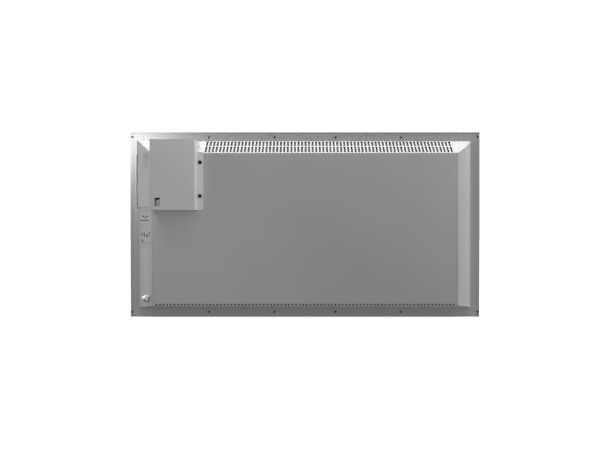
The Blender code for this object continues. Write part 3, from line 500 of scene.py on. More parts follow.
def joined(meshes):
    bm = bmesh.new()
    for mesh in meshes:
        bm.from_mesh(mesh)
    made = bpy.data.meshes.new("joined")
    bm.to_mesh(made)
    bm.free()
    return made


def box(x0, x1, depth0, depth1, z0, z1):
    bm = bmesh.new()
    bmesh.ops.create_cube(bm, size=1.0)
    low, high = at(x0, depth1, z0), at(x1, depth0, z1)
    bmesh.ops.scale(bm, vec=high - low, verts=bm.verts[:])
    bmesh.ops.translate(bm, vec=(low + high) / 2, verts=bm.verts[:])
    return finished(bm, "box_tool")


def prisms(outlines, z0, z1, where=None, name="prism"):
    """One mesh of prisms: outlines in local X, Y, from local z0 to z1."""
    bm = bmesh.new()
    for outline in outlines:
        low = [bm.verts.new(Vector((x, y, z0)) * MM) for x, y in outline]
        high = [bm.verts.new(Vector((x, y, z1)) * MM) for x, y in outline]
        bm.faces.new(list(reversed(low)))
        bm.faces.new(high)
        for i in range(len(outline)):
            j = (i + 1) % len(outline)
            bm.faces.new([low[i], low[j], high[j], high[i]])
    return finished(bm, name, where)


def prism(outline, z0, z1, where=None):
    return prisms([outline], z0, z1, where)


def rounded_rectangle(x0, x1, y0, y1, radius, steps=3):
    points = []
    for cx, cy, start in ((x1 - radius, y1 - radius, 0), (x0 + radius, y1 - radius, 90),
                          (x0 + radius, y0 + radius, 180), (x1 - radius, y0 + radius, 270)):
        for i in range(steps + 1):
            angle = math.radians(start + 90 * i / steps)
            points.append((cx + radius * math.cos(angle), cy + radius * math.sin(angle)))
    return points


def centred_rectangle(half_x, half_y, radius, steps=2):
    return rounded_rectangle(-half_x, half_x, -half_y, half_y, radius, steps)


def fillet(corners, steps):
    """Rounds a closed outline; corners are (x, y, radius)."""
    made = []
    for i, (*place, radius) in enumerate(corners):
        corner = Vector(place)
        back = Vector(corners[i - 1][:2]) - corner
        ahead = Vector(corners[(i + 1) % len(corners)][:2]) - corner
        half_angle = back.angle(ahead) / 2
        reach = min(radius / math.tan(half_angle), back.length * 0.49, ahead.length * 0.49)
        radius = reach * math.tan(half_angle)
        back.normalize()
        ahead.normalize()
        centre = corner + (back + ahead).normalized() * (radius / math.sin(half_angle))
        start, end = corner + back * reach - centre, corner + ahead * reach - centre
        turn = start.angle_signed(end)
        for k in range(steps + 1):
            cos, sin = math.cos(-turn * k / steps), math.sin(-turn * k / steps)
            made.append((centre.x + start.x * cos - start.y * sin,
                         centre.y + start.x * sin + start.y * cos))
    return made


def lathe(profile, where=None, segments=32):
    """Closed turned body about local Z. profile: (radius, z) pairs from the axis at the
    bottom to the axis at the top, or a closed ring of pairs when it never meets the axis."""
    bm = bmesh.new()
    rings = []
    for radius, z in profile:
        if radius == 0:
            rings.append([bm.verts.new((0, 0, z * MM))])
        else:
            rings.append([bm.verts.new((radius * MM * math.cos(2 * math.pi * k / segments),
                                        radius * MM * math.sin(2 * math.pi * k / segments),
                                        z * MM)) for k in range(segments)])
    pairs = list(zip(rings, rings[1:]))
    if profile[0][0] > 0:
        pairs.append((rings[-1], rings[0]))
    for low, high in pairs:
        for k in range(segments):
            j = (k + 1) % segments
            if len(low) == 1:
                bm.faces.new([low[0], high[j], high[k]])
            elif len(high) == 1:
                bm.faces.new([low[k], low[j], high[0]])
            else:
                bm.faces.new([low[k], low[j], high[j], high[k]])
    return finished(bm, "lathe", where)


def cylinder(radius, z0, z1, where=None, segments=28):
    return lathe([(0, z0), (radius, z0), (radius, z1), (0, z1)], where, segments)


def hexagon_nut(across_flats, z0, z1, bore, where):
    """Chamfered hexagon along local Z; bore is the hole's radius, 0 for none."""
    corner = across_flats / math.sqrt(3)
    outline = [(corner * math.cos(math.radians(30 + 60 * k)),
                corner * math.sin(math.radians(30 + 60 * k))) for k in range(6)]
    flat = across_flats / 2
    drop = (corner - flat) * 0.75
    chamfered = lathe([(0, z0), (flat * 0.97, z0), (corner * 1.01, z0 + drop),
                       (corner * 1.01, z1 - drop), (flat * 0.97, z1), (0, z1)], None, 36)
    shape = boolean(prism(outline, z0, z1), [chamfered], "INTERSECT")
    if bore:
        shape = boolean(shape, [cylinder(bore, z0 - 5, z1 + 5)])
    shape.transform(where)
    return shape


def thread_profile(major, minor, pitch, z0, z1):
    """Ring threads between z0 and z1, closed to the axis."""
    points = [(0, z0), (minor, z0)]
    z = z0 + 0.15
    while z + pitch < z1 - 0.1:
        points += [(minor, z), (major, z + pitch * 0.38), (major, z + pitch * 0.55)]
        z += pitch
    return points + [(minor, z1), (0, z1)]


def slot_cutter(half_length, half_width, z0, z1, where, turn=0.0):
    """Cutter for a screwdriver slot, turned about local Z by radians."""
    return prism(centred_rectangle(half_length, half_width, 0.2), z0, z1,
                 where @ Matrix.Rotation(turn, 4, "Z"))


def folded_skin(name, places, faces, bend_radius, bends=None, clamp=True):
    """Zero-thickness folded sheet. places: name to (x, depth, z); faces: rings of names.
    The named bends are rounded, or every fold over 5 degrees when none are named."""
    bm = bmesh.new()
    verts = {key: bm.verts.new(at(*place)) for key, place in places.items()}
    for ring in faces:
        bm.faces.new([verts[key] for key in ring.split()])
    bmesh.ops.recalc_face_normals(bm, faces=bm.faces[:])
    bm.faces.ensure_lookup_table()
    # The first face must look towards the back.
    if bm.faces[0].normal.y > 0:
        bmesh.ops.reverse_faces(bm, faces=bm.faces[:])
    if bends:
        edges = [bm.edges.get([verts[key] for key in pair.split()]) for pair in bends]
    else:
        edges = [edge for edge in bm.edges
                 if len(edge.link_faces) == 2 and edge.calc_face_angle() > math.radians(5)]
    bmesh.ops.bevel(bm, geom=edges, offset=bend_radius * MM, offset_type="OFFSET", segments=3,
                    profile=0.5, affect="EDGES", clamp_overlap=clamp)
    mesh = bpy.data.meshes.new(name)
    bm.to_mesh(mesh)
    bm.free()
    return mesh


# ------------------------------------------------------------------- bezel ----
def rail(side, rim, half_length, half_width, turn, sinks=()):
    """A mitred rail, modelled at the top and turned about Y into place."""
    ledge = -SHEET - GAP
    # Section: inset from the outer edge, depth, corner radius.
    section = fillet([
        (0, -16.0, 1.2), (25.0, -16.0, 0.9), (25.0, -14.0, 0.3), (2.0, -14.0, 0.8),
        (2.0, ledge - 2.0, 0.8), (28.0, ledge - 2.0, 0.5), (28.0, ledge, 0.5), (rim, ledge, 0.3),
        (rim, 0.5, 0.3), (0, 0.5, 0.18)], steps=4)
    mitre_gap = 0.2
    bm = bmesh.new()
    ends = [[bm.verts.new(Vector((sign * (half_length - inset - mitre_gap), REAR_Y - depth,
                                  half_width - inset)) * MM) for inset, depth in section]
            for sign in (-1, 1)]
    bm.faces.new(ends[0])
    bm.faces.new(list(reversed(ends[1])))
    for i in range(len(section)):
        j = (i + 1) % len(section)
        bm.faces.new([ends[0][i], ends[1][i], ends[1][j], ends[0][j]])
    name = "rail_" + side
    mesh = finished(bm, name, Matrix.Rotation(turn, 4, "Y"))
    tools = [lathe([(0, -8), (1.9, -8), (1.9, -1.5), (3.95, 0.55), (3.95, 3), (0, 3)], sink, 24)
             for sink in sinks]
    if tools:
        mesh = boolean(mesh, tools)
    piece(name, mesh, BEZEL_PAINT, replaces="bezel_" + side, degrees=38)


def corner_frames(sign_x):
    return [back_frame(sign_x * CORNER_SCREW_X, sign_z * CORNER_SCREW_Z) for sign_z in (1, -1)]


rail("top", 2.7, BEZEL_X, BEZEL_Z, 0.0)
rail("bottom", 2.7, BEZEL_X, BEZEL_Z, math.pi)
rail("right", 10.7, BEZEL_Z, BEZEL_X, math.pi / 2, corner_frames(1))
rail("left", 10.7, BEZEL_Z, BEZEL_X, -math.pi / 2, corner_frames(-1))


# --------------------------------------------------------------------- pan ----
def pan_skin():
    """Corners 0 to 3 run from bottom left through bottom right, seen from behind."""
    knee_low = -MOUTH_Z + (BACK_BOTTOM + MOUTH_Z) * KNEE_D / PAN_D
    places = {
        "back0": (-BACK_X, PAN_D, BACK_BOTTOM), "back1": (BACK_X, PAN_D, BACK_BOTTOM),
        "back2": (BACK_X, PAN_D, BACK_TOP), "back3": (-BACK_X, PAN_D, BACK_TOP),
        "knee1": (KNEE_X, KNEE_D, knee_low), "knee2": (KNEE_X, KNEE_D, top_line(KNEE_D))}
    for name, half_x, half_z in (("mouth", MOUTH_X, MOUTH_Z), ("flange", FLANGE_X, FLANGE_Z)):
        for i, (sign_x, sign_z) in enumerate(((-1, -1), (1, -1), (1, 1), (-1, 1))):
            places[name + str(i)] = (sign_x * half_x, 0.0, sign_z * half_z)
    faces = ("back0 back1 back2 back3", "mouth0 mouth1 knee1 back1 back0",
             "mouth1 mouth2 knee2 knee1", "knee1 knee2 back2 back1",
             "mouth2 mouth3 back3 back2 knee2", "mouth3 mouth0 back0 back3",
             "flange0 flange1 mouth1 mouth0", "flange1 flange2 mouth2 mouth1",
             "flange2 flange3 mouth3 mouth2", "flange3 flange0 mouth0 mouth3")
    return folded_skin("pan_skin", places, faces, bend_radius=0.8)


def row_places(count, centre=0.0):
    return [centre + (i - (count - 1) / 2) * VENT_PITCH for i in range(count)]


def pan_cutters():
    """Top vents, drain slots in the back, fastener slots and round holes."""
    vents = prisms(
        [rounded_rectangle(x - VENT_WIDTH / 2, x + VENT_WIDTH / 2, start / PAN_D * TOP_RUN,
                           end / PAN_D * TOP_RUN, 0.9, 3)
         for start, end in VENT_ROWS for x in row_places(VENT_COUNT, VENT_CENTRE)],
        -3.0, 3.0, top_wall)
    drains = prisms(
        [rounded_rectangle(x - DRAIN_WIDTH / 2, x + DRAIN_WIDTH / 2, -DRAIN_HEIGHT / 2,
                           DRAIN_HEIGHT / 2, 1.0, 2) for x in row_places(DRAIN_COUNT)],
        -3.0, 3.0, back_frame(0.0, DRAIN_Z, PAN_D))
    slots = prisms([rounded_rectangle(FASTENER_X - 7, FASTENER_X + 7, z - 3.25, z + 3.25, 3.2, 5)
                    for z in FASTENER_Z.values()], -3.0, 3.0, back_frame(0.0, 0.0, PAN_D))
    holes = [(9.0, back_frame(GROMMET_X, GROMMET_Z, PAN_D)), (8.4, gland), (2.8, earth)]
    holes += [(1.9, back_frame(TRAY_SCREW_X, z, PAN_D)) for z in TRAY_SCREW_Z.values()]
    holes += [(2.0, back_frame(x, sign_z * FLANGE_SCREW_Z))
              for x in FLANGE_SCREW_X for sign_z in (1, -1)]
    return [vents, drains, slots,
            joined([cylinder(radius, -4, 4, where) for radius, where in holes])]


pan_mesh = boolean(modified(pan_skin(), thicken), pan_cutters())
pan = piece("pan_shell", pan_mesh, PAN_PAINT, replaces="back_pan")


# ------------------------------------------------------------ driver cover ----
def cover_skin():
    """A box over the pan's back, with a foot on its right, a wing above the pan's left wall,
    a tab along the top wall and a lip below the wing."""
    wall_d = (COVER_X0 + MOUTH_X + WING_RISE * math.hypot(1.0, SIDE_SLOPE)) / SIDE_SLOPE
    roof_d = (MOUTH_Z + GAP * math.hypot(1.0, TOP_SLOPE) - COVER_Z1) / TOP_SLOPE
    crest_d = PAN_D + GAP
    crest_z = top_line(crest_d, GAP)
    foot_d = COVER_FOOT_D
    wing_d, tab_d, lip_d = 0.9, 0.9 + 0.4, 1.6      # their edges nearest the flange
    lip_in_x = left_line(foot_d - GAP, SHEET + GAP)
    lip_out_x = left_line(lip_d, SHEET + GAP)
    places = {
        "face0": (COVER_X0, COVER_D, COVER_Z0), "face1": (COVER_X1, COVER_D, COVER_Z0),
        "face2": (COVER_X1, COVER_D, COVER_Z1), "face3": (COVER_X0, COVER_D, COVER_Z1),
        "right_low": (COVER_X1, foot_d, COVER_Z0), "right_step": (COVER_X1, foot_d, FOOT_Z1),
        "right_crest": (COVER_X1, crest_d, crest_z), "right_roof": (COVER_X1, roof_d, COVER_Z1),
        "left_roof": (COVER_X0, roof_d, COVER_Z1), "left_crest": (COVER_X0, crest_d, crest_z),
        "wing_in1": (COVER_X0, wall_d, top_line(wall_d)), "wing_in0": (COVER_X0, wall_d, WING_Z0),
        "left_step": (COVER_X0, foot_d, WING_Z0), "left_low": (COVER_X0, foot_d, COVER_Z0),
        "foot0": (FOOT_X1, foot_d, COVER_Z0), "foot1": (FOOT_X1, foot_d, FOOT_Z1),
        "wing_out0": (left_line(wing_d, WING_RISE), wing_d, WING_Z0),
        "wing_out1": (left_line(wing_d, WING_RISE), wing_d, top_line(wing_d) + 5.0),
        "tab_in": (left_line(PAN_D, GAP), crest_d, top_line(crest_d)),
        "tab_out": (left_line(tab_d, GAP), tab_d, top_line(tab_d)),
        "lip_in1": (lip_in_x, foot_d, WING_Z0), "lip_out1": (lip_out_x, lip_d, WING_Z0),
        "lip_in0": (lip_in_x, foot_d, LIP_Z0), "lip_out0": (lip_out_x, lip_d, LIP_Z0),
        "lip_end": (COVER_X0, foot_d, LIP_Z0)}
    faces = ("face0 face1 face2 face3", "face1 right_low right_step right_crest right_roof face2",
             "right_low foot0 foot1 right_step", "face2 right_roof left_roof face3",
             "face3 left_roof left_crest wing_in1 wing_in0 left_step left_low face0",
             "face0 left_low right_low face1", "wing_in0 wing_in1 wing_out1 wing_out0",
             "wing_out1 wing_in1 left_crest tab_in tab_out",
             "wing_out0 lip_out1 lip_in1 left_step wing_in0", "lip_out1 lip_out0 lip_in0 lip_in1",
             "lip_in1 lip_in0 lip_end left_low left_step")
    bends = ("face0 face1", "face1 face2", "face2 face3", "face3 face0", "face1 right_low",
             "face2 right_roof", "face3 left_roof", "face0 left_low", "right_low right_step",
             "wing_in0 wing_in1", "wing_out0 wing_in0", "wing_out1 wing_in1")
    return folded_skin("cover_skin", places, faces, bend_radius=0.9, bends=bends, clamp=False)


def cover_cutters():
    """Holes in the back face, the bottom wall and the foot, and room for the leaf's knuckles."""
    window = rounded_rectangle(-491.0, -474.0, 59.0, 87.0, 0.8, 3)
    tools = [prism(window, -4, 4, back_frame(0.0, 0.0, COVER_D)),
             cylinder(7.3, 42.0, 52.0, relief, 32)]
    tools += [cylinder(3.0, -3, 4, back_frame(FASTENER_X, z, PAN_D), 24)
              for z in FASTENER_Z.values()]
    tools.append(cylinder(8.5, -4, 4, back_frame(RELIEF_X, 43.6, COVER_D), 40))
    tools += [box(-590.0, -573.6, -5.0, 8.0, z0 - 0.5, z1 + 0.5)
              for z0, z1, owner in KNUCKLES if owner == "leaf"]
    return tools


piece("cover_shell", boolean(modified(cover_skin(), thicken), cover_cutters()), COVER_PAINT,
      "driver_cover", "driver_cover")
for number, (z0, z1, owner) in enumerate(KNUCKLES):
    if owner == "cover":
        tube = lathe([(1.1, z0), (1.6, z0), (1.9, z0 + 0.3), (1.9, z1 - 0.3), (1.6, z1),
                      (1.1, z1)], upright_frame(HINGE_X, HINGE_D), 24)
        piece("cover_knuckle_%d" % number, tube, COVER_PAINT, "driver_cover")


# ------------------------------------------------------------------ screws ----
def shank(start, tip_radius):
    """Profile of a threaded shank from just below start."""
    profile = [(0, start - 0.4), (tip_radius, start - 0.2)]
    z = start
    while z < start + 6.6:
        profile += [(1.2, z), (1.5, z + 0.25)]
        z += 0.5
    return profile


def cross_cutters(half_length, half_width, z0, z1, where, degrees):
    return [slot_cutter(half_length, half_width, z0, z1, where, math.radians(degrees + quarter))
            for quarter in (0, 90)]


def pan_head(name, node, where, base, look):
    """Domed head with a cross recess, seated at local z = base."""
    profile = shank(base - 7.2, 0.9)
    profile += [(1.5, base), (3.35, base), (3.5, base + 0.25), (3.45, base + 0.9)]
    for k in range(1, 7):
        angle = math.radians(15 * k)
        profile.append((3.45 * math.cos(angle) ** 0.6 if k < 6 else 0.0,
                        base + 0.9 + 1.1 * math.sin(angle)))
    mesh = boolean(lathe(profile, where, 28),
                   cross_cutters(1.75, 0.36, base + 1.0, base + 4, where, degrees=20))
    piece(name, mesh, look, replaces=node)


def countersunk(place, where):
    """Flush head with a cross recess."""
    profile = shank(-8.8, 0.8)
    profile += [(1.5, -1.6), (3.35, 0.2), (3.35, 0.35), (3.0, 0.42), (0, 0.46)]
    mesh = boolean(lathe(profile, where, 28),
                   cross_cutters(1.8, 0.38, -0.9, 3.0, where, degrees=35))
    piece("screw_corner_" + place, mesh, DULL_ZINC,
          replaces="corner_screw_" + place)


ROWS = (("top", 1), ("bottom", -1))
for row, sign_z in ROWS:
    for number, x in enumerate(FLANGE_SCREW_X, 1):
        pan_head("screw_%s_%d" % (row, number), "flange_screw_%s_%d" % (row, number),
                 back_frame(x, sign_z * FLANGE_SCREW_Z), GAP, DULL_ZINC)
for place, z in TRAY_SCREW_Z.items():
    pan_head("screw_tray_" + place, "tray_screw_" + place, back_frame(TRAY_SCREW_X, z, TRAY_D),
             1.5, ZINC)
for row, sign_z in ROWS:
    for side, sign_x in (("left", -1), ("right", 1)):
        countersunk(row + "_" + side,
                    back_frame(sign_x * CORNER_SCREW_X, sign_z * CORNER_SCREW_Z))


# ------------------------------------------------- quarter-turn fasteners ----
def latch(place, z):
    where = back_frame(FASTENER_X, z)
    head = PAN_D + 2 * GAP + SHEET
    mesh = lathe([(0, 56.9), (2.0, 56.9), (2.4, 57.3), (2.4, head), (5.9, head),
                  (6.2, head + 0.3), (6.2, head + 1.3), (5.9, head + 2.1), (5.2, head + 2.7),
                  (4.4, head + 3.0), (0, head + 3.1)], where, 40)
    blade = prism(centred_rectangle(1.2, 5.0, 0.5), 56.9, 58.4, where)
    mesh = boolean(mesh, [blade], "UNION")
    groove = prism(centred_rectangle(4.4, 0.8, 0.5, 3), head + 1.6, head + 6, where)
    node = "cover_fastener_" + place
    piece("latch_" + place, boolean(mesh, [groove]), BLACK_OXIDE, node, node)


for place, z in FASTENER_Z.items():
    latch(place, z)


# ------------------------------------------------------ gland, earth stud ----
def brass(name, mesh, replaces=None, look=NICKEL, degrees=30):
    piece(name, mesh, look, replaces=replaces, degrees=degrees)


def gland_body():
    barrel = lathe(thread_profile(8.0, 7.4, 1.5, -11.0, 12.5), gland, 36)
    shape = boolean(hexagon_nut(22.0, GAP, 6.3, 0, gland), [barrel], "UNION")
    return boolean(shape, [cylinder(4.4, -15, 20, gland)])


def gland_dome():
    cap = lathe([(0, 12.0), (9.4, 12.0), (9.4, 14.6), (9.0, 16.4), (8.0, 18.2), (7.0, 19.0),
                 (0, 19.0)], gland, 40)
    shape = boolean(hexagon_nut(19.8, 6.6, 13.6, 0, gland), [cap], "UNION")
    bore = [(0, 5), (8.35, 5), (8.35, 14.6), (5.6, 16.0), (5.3, 22), (0, 22)]
    return boolean(shape, [lathe(bore, gland, 32)])


def earth_stud():
    head = [(0, -4.3), (4.4, -4.3), (4.6, -4.0), (4.6, -1.5), (4.3, -1.3), (2.1, -1.3)]
    thread = thread_profile(2.5, 2.1, 0.8, -1.3, 11.0)[2:-1]
    return lathe(head + thread + [(1.6, 11.5), (0, 11.5)], earth, 24)


brass("gland_body", gland_body(), "cable_gland_body")
brass("gland_dome_nut", gland_dome(), "cable_gland_dome_nut")
plug = lathe([(0, 14.9), (5.15, 14.9), (5.15, 18.4), (5.7, 18.7), (5.7, 19.3), (5.2, 19.9),
              (3.6, 20.7), (1.8, 21.1), (0, 21.2)], gland, 32)
brass("gland_blanking_plug", plug, look=PLUG, degrees=32)
brass("gland_locknut", hexagon_nut(19.8, -5.6, -1.3, 8.35, gland), "cable_gland_locknut")
brass("earth_threaded_stud", earth_stud(), "earth_stud", degrees=32)
brass("earth_hex_nut", hexagon_nut(8.0, 1.6, 5.6, 2.7, earth), "earth_nut")


# ------------------------------------------------------------------ labels ----
def disc(cx, cy, rx, ry, steps=20):
    return [(cx + rx * math.cos(2 * math.pi * k / steps),
             cy + ry * math.sin(2 * math.pi * k / steps)) for k in range(steps)]


def bar(x0, x1, y0, y1):
    return rounded_rectangle(x0, x1, y0, y1, min(x1 - x0, y1 - y0) * 0.2, 2)


def prints(name, where, outlines, look, body="panel", base=LABEL_FILM):
    """Very thin raised ink on a surface at local z = base."""
    mesh = prisms(outlines, base + 0.01, base + 0.07, where, name)
    piece(name, mesh, look, body, degrees=None)


def rating_label():
    """On the pan's left wall."""
    where = slope_frame(30.0, -18.5, 0.25)
    plate = prism(centred_rectangle(38.0, 57.5, 2.0, 4), 0.0, LABEL_FILM, where)
    piece("label_plate", plate, LABEL_STOCK, replaces="rating_label")
    prints("label_dark_marks", where, [
        bar(-18.6, -9.4, 43.2, 49.4), bar(-34.5, 25.5, 31.0, 34.0), bar(-11.2, -4.8, -23.4, -9.0),
        disc(10.3, -20.2, 5.3, 5.0)], INK)
    prints("label_mid_marks", where, [
        [(-10.0, 40.6), (-4.0, 40.2), (17.0, 44.4), (17.0, 48.2), (11.0, 48.2), (-10.0, 43.4)],
        bar(17.0, 32.5, -12.4, -9.2), bar(24.6, 28.2, -23.0, -12.0),
        disc(-23.5, -15.4, 5.2, 4.4), disc(-19.5, -38.6, 6.0, 5.0)], MID_INK)
    rows = [bar(-33.0, -12.0, 10.6, 16.2), bar(8.0, 36.5, -38.8, -36.9),
            bar(-7.0, 36.5, -46.2, -43.4)]
    for i in range(5):
        y = 21.0 - 5.0 * i
        rows += [bar(-4.0, 3.0, y, y + 0.9), bar(7.0, 27.0 - 4.0 * (i % 3), y, y + 0.9)]
    rows.append(bar(-36.0, -20.0, 4.0, 4.8))
    prints("label_grey_marks", where, rows, GREY_INK)


def cover_label():
    """On the cover's wing."""
    where = slope_frame(39.5, 218.0, WING_RISE + 0.25)
    plate = prism(centred_rectangle(15.0, 24.0, 1.5, 4), 0.0, LABEL_FILM, where)
    piece("cover_label_plate", plate, COVER_LABEL_STOCK, "driver_cover",
          "cover_label")
    prints("cover_label_marks", where, [
        bar(-11.0, 11.0, 14.0, 15.2), bar(-11.0, 6.0, 9.0, 9.8), bar(-11.0, 8.0, 5.5, 6.3),
        bar(-11.0, 2.0, 2.0, 2.8)], COVER_GREY_INK, "driver_cover")


rating_label()
cover_label()

# ------------------------------------------------- shade sheets, strain relief ----
# Near-black sheets behind the vents and the drain slots: painted shade for the dark inside of the
# pan.
vent_outline = rounded_rectangle(-345.0, 505.0, 1.6, TOP_RUN - 2.4, 2.0, 2)
piece("vent_screen", prisms([vent_outline], 3.0, 3.6, top_wall, "vent_screen"), SHADE_SHEET,
      degrees=None)
piece("drain_screen", box(-506.0, 506.0, 57.0, 57.4, -271.2, -262.6), SHADE_SHEET,
      degrees=None)

bush = lathe([(4.6, 43.2), (8.6, 43.2), (9.2, 43.8), (9.2, 47.1), (6.9, 47.1), (6.9, 48.9),
              (7.8, 48.9), (7.8, 52.0), (7.2, 52.6), (7.2, 56.4), (7.8, 57.0), (7.8, 79.2),
              (7.0, 80.0), (4.6, 80.0)], relief, 40)
piece("relief_bush", bush, POLYAMIDE, "driver_cover", "strain_relief")
# Local X, Y are x and depth; local Z is up.
plan_frame = Matrix(((1, 0, 0, 0), (0, -1, 0, REAR_Y * MM), (0, 0, 1, 0), (0, 0, 0, 1)))
saddle = prism([(-491.8, 108.5), (-491.8, 111.5), (-486.0, 116.3), (-473.6, 116.3),
                (-473.6, 108.5)], 58.0, 80.6, plan_frame)
piece("relief_saddle", saddle, POLYAMIDE, "driver_cover", degrees=None)

# ------------------------------------------- drivers and terminals in the box ----
DRIVER_X, DRIVER_Z = (-468.0, -414.0), 166.0     # centres
DRIVER_HALF_X, DRIVER_HALF_Z, DRIVER_D = 24.0, 60.0, 30.0
TERMINAL_X, TERMINAL_Z = (-421.0, -411.0, -401.0), 81.0


def slotted_screw(name, profile, slot, where, turn):
    """slot: half length, half width, and where the slot starts and ends."""
    mesh = boolean(lathe(profile, where, 24), [slot_cutter(*slot, where, turn)])
    piece(name, mesh, ZINC)


def driver(number, centre):
    """Case with grooved sides, printed sticker and a screw at each end."""
    left, right = centre - DRIVER_HALF_X, centre + DRIVER_HALF_X
    outline = rounded_rectangle(left, right, DRIVER_Z - DRIVER_HALF_Z, DRIVER_Z + DRIVER_HALF_Z,
                                3.0, 4)
    case = prism(outline, CASE_D, CASE_D + DRIVER_D, panel_frame)
    grooves = [box(x0, x1, CASE_D + 4, CASE_D + 26, z - 0.8, z + 0.8)
               for x0, x1 in ((left - 1, left + 0.5), (right - 0.5, right + 1))
               for z in range(120, 215, 6)]
    piece("driver_case_%d" % number, boolean(case, [joined(grooves)]), POLYCARB,
          replaces="led_driver_%d" % number)
    face = back_frame(centre, DRIVER_Z, CASE_D + DRIVER_D)
    sticker = prism(centred_rectangle(20.0, 40.0, 1.5, 4), 0.02, 0.2, face)
    piece("driver_sticker_%d" % number, sticker, STICKER)
    marks = [bar(-17.0, 4.0, 32.0, 35.0), bar(-17.0, 17.0, 27.0, 28.0),
             bar(-17.0, 12.0, 23.5, 24.5), bar(-17.0, 15.0, 20.0, 21.0),
             bar(-17.0, 17.0, -30.0, -29.0), disc(11.0, 34.0, 3.5, 3.5)]
    for k in range(5):
        low, high = 12.0 - 7 * k, 13.0 - 7 * k
        marks += [bar(-17.0, -4.0, low, high), bar(0.0, 16.0 - (k % 2) * 5, low, high)]
    prints("driver_marks_%d" % number, face, marks, INK, base=0.2)
    for end, z in (("top", 221.0), ("bottom", 111.0)):
        slotted_screw("driver_screw_%s_%d" % (end, number),
                      [(0, 0.0), (3.2, 0.0), (3.2, 1.2), (2.6, 1.8), (0, 1.8)],
                      (2.6, 0.4, 0.9, 3.0), back_frame(centre, z, CASE_D + DRIVER_D),
                      0.4 * number)


def terminals():
    """Block with screw pits, openings in its left side and grooves between the terminals."""
    block = prism(rounded_rectangle(-428.0, -394.0, 70.0, 92.0, 1.0, 3), CASE_D, CASE_D + 17.0,
                  panel_frame)
    seats = [back_frame(x, TERMINAL_Z, CASE_D + 12.0) for x in TERMINAL_X]
    pits = [cylinder(3.0, 0, 8, seat, 24) for seat in seats]
    pits += [box(-429.0, -423.4, CASE_D + 4.0, CASE_D + 8.0, z - 2.0, z + 2.0)
             for z in (74.5, 81.0, 87.5)]
    pits += [box(x - 0.5, x + 0.5, CASE_D + 13.0, CASE_D + 18.0, 69.0, 93.0)
             for x in (-416.0, -406.0)]
    piece("terminal_body", boolean(block, [joined(pits)]), POLYAMIDE,
          replaces="terminal_block")
    for number, seat in enumerate(seats, 1):
        slotted_screw("terminal_screw_%d" % number,
                      [(0, 0.02), (2.6, 0.02), (2.6, 1.8), (2.2, 2.2), (0, 2.2)],
                      (3, 0.4, 1.2, 4.0), seat, 0.5 * number)


for number, centre in enumerate(DRIVER_X, 1):
    driver(number, centre)
terminals()

# ------------------------------------------------------- studio, in metres ----
scene = bpy.context.scene
scene.view_settings.view_transform = "Standard"
scene.view_settings.look = "None"


def add_floor():
    """White paper that glows a little and is hidden from bounced light."""
    mesh = bpy.data.meshes.new("floor")
    bm = bmesh.new()
    bmesh.ops.create_grid(bm, x_segments=2, y_segments=2, size=12.0)
    bmesh.ops.translate(bm, vec=(0, 0, -0.3175), verts=bm.verts[:])
    bm.to_mesh(mesh)
    bm.free()
    floor = bpy.data.objects.new("floor", mesh)
    scene.collection.objects.link(floor)
    mesh.materials.append(Look("floor_paper").finish(
        grey(0.9), 0.9, Emission_Color=(1, 1, 1, 1), Emission_Strength=0.75))
    floor.visible_diffuse = False
    floor.visible_glossy = False


# Soft light by direction: axis, sign, power (higher is narrower), strength.
LOBES = (("Y", -1.0, 1.0, 0.06), ("Z", 1.0, 1.0, 0.0), ("Z", -1.0, 1.0, 0.0304),
         ("X", 1.0, 1.0, 0.9725), ("Z", 1.0, 4.0, 1.2124), ("X", -1.0, 4.0, 1.0412),
         ("X", 1.0, 4.0, 0.0))


def add_world():
    """The lobes light the scene; the camera sees plain white."""
    world = bpy.data.worlds.new("studio")
    scene.world = world
    world.use_nodes = True
    n = NodeTree(world.node_tree)
    n.tree.nodes.clear()
    direction = n.add("ShaderNodeSeparateXYZ")
    n.link(n.add("ShaderNodeTexCoord").outputs["Generated"], direction.inputs[0])
    total = 0.0
    for axis, sign, power, strength in LOBES:
        facing = n.math("MAXIMUM", n.math("MULTIPLY", direction.outputs[axis], sign), 0.0)
        lobe = n.math("POWER", facing, power)
        total = n.math("ADD", n.math("MULTIPLY", lobe, strength), total)
    white = (1.0, 1.0, 1.0, 1.0)
    soft = n.add("ShaderNodeBackground", Color=white)
    n.link(total, soft.inputs["Strength"])
    plain = n.add("ShaderNodeBackground", Color=white, Strength=1.05)
    chooser = n.add("ShaderNodeMixShader")
    n.link(n.add("ShaderNodeLightPath").outputs["Is Camera Ray"], chooser.inputs[0])
    n.link(soft.outputs[0], chooser.inputs[1])
    n.link(plain.outputs[0], chooser.inputs[2])
    n.link(chooser.outputs[0], n.add("ShaderNodeOutputWorld").inputs[0])


def linked_group(name, items):
    group = bpy.data.collections.new(name)
    for item in items:
        group.objects.link(item)
    return group


def soft_box(name, energy, size, location, target, receivers, blockers=None):
    """receivers: only these are lit by it. blockers: only these cast its shadow."""
    lamp = bpy.data.lights.new(name, "AREA")
    lamp.shape = "RECTANGLE"
    lamp.size, lamp.size_y = size
    lamp.energy = energy
    obj = bpy.data.objects.new(name, lamp)
    scene.collection.objects.link(obj)
    obj.location = location
    aim = Vector(target) - Vector(location)
    obj.rotation_euler = aim.to_track_quat("-Z", "Y").to_euler()
    obj.light_linking.receiver_collection = linked_group(name + "_receivers", receivers)
    if blockers:
        obj.light_linking.blocker_collection = linked_group(name + "_blockers", blockers)


def objects_named(*prefixes):
    return [obj for obj in bpy.data.objects if obj.name.startswith(prefixes)]


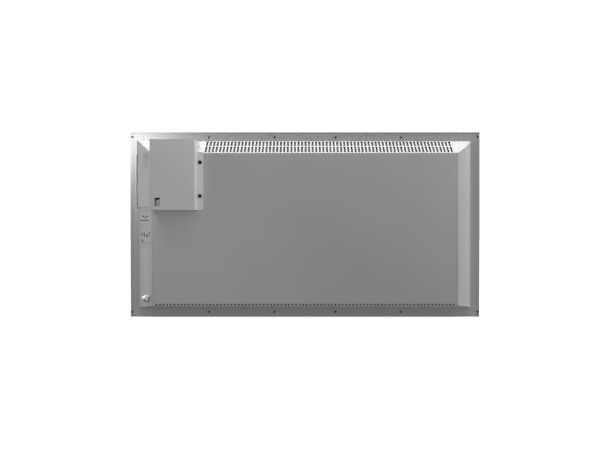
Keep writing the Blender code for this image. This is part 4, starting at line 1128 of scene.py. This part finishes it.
def add_lamps():
    cover_parts = objects_named("cover_")
    not_cover = [obj for obj in bpy.data.objects
                 if obj.type == "MESH" and obj not in cover_parts]
    edge_parts = [pan, bpy.data.objects["rail_left"], bpy.data.objects["rail_top"]]
    edge_parts += objects_named("label_")
    right_parts = [pan, bpy.data.objects["rail_right"]]
    fittings = objects_named("gland_", "earth_")
    soft_box("sky", energy=49.928, size=(2.8, 0.16), location=(0.0, -0.03, 1.9),
             target=(0.0, -0.03, 0.2), receivers=not_cover)
    soft_box("corner", energy=0.477, size=(0.10, 0.16), location=(-0.622, -0.145, 0.299),
             target=(-0.622, 0.05, 0.305), receivers=edge_parts)
    soft_box("right_strip", energy=0.181, size=(0.04, 0.9), location=(0.80, 0.13, 0.03),
             target=(0.56, 0.02, 0.03), receivers=right_parts, blockers=cover_parts[:1])
    soft_box("right_top", energy=0.082, size=(0.05, 0.10), location=(0.63, 0.10, 0.30),
             target=(0.56, 0.03, 0.25), receivers=right_parts, blockers=cover_parts[:1])
    soft_box("flange_right", energy=0.043, size=(0.04, 0.5), location=(0.645, -0.20, -0.02),
             target=(0.585, 0.05, -0.01), receivers=right_parts)
    soft_box("fittings", energy=0.3, size=(0.05, 0.05), location=(-0.585, -0.085, -0.05),
             target=(-0.545, 0.0, -0.245), receivers=fittings)
    soft_box("pan_left", energy=4.096, size=(0.8, 1.2), location=(-2.2, -0.9, 0.0),
             target=(-0.5, 0.0, 0.0), receivers=edge_parts)
    soft_box("box_fill", energy=0.159, size=(0.25, 0.25), location=(-0.42, -0.45, 0.10),
             target=(-0.42, 0.0, 0.10), receivers=[pan], blockers=[pan])


def add_camera():
    """Behind the panel, looking level along +Y."""
    data = bpy.data.cameras.new("camera")
    data.sensor_width = 36.0
    data.lens = 40.34
    camera = bpy.data.objects.new("camera", data)
    scene.collection.objects.link(camera)
    camera.location = (0.0, REAR_Y * MM - 2.350, -0.0019)
    camera.rotation_euler = (math.pi / 2, 0.0, 0.0)
    scene.camera = camera


add_floor()
add_world()
add_lamps()
add_camera()

bpy.context.view_layer.update()
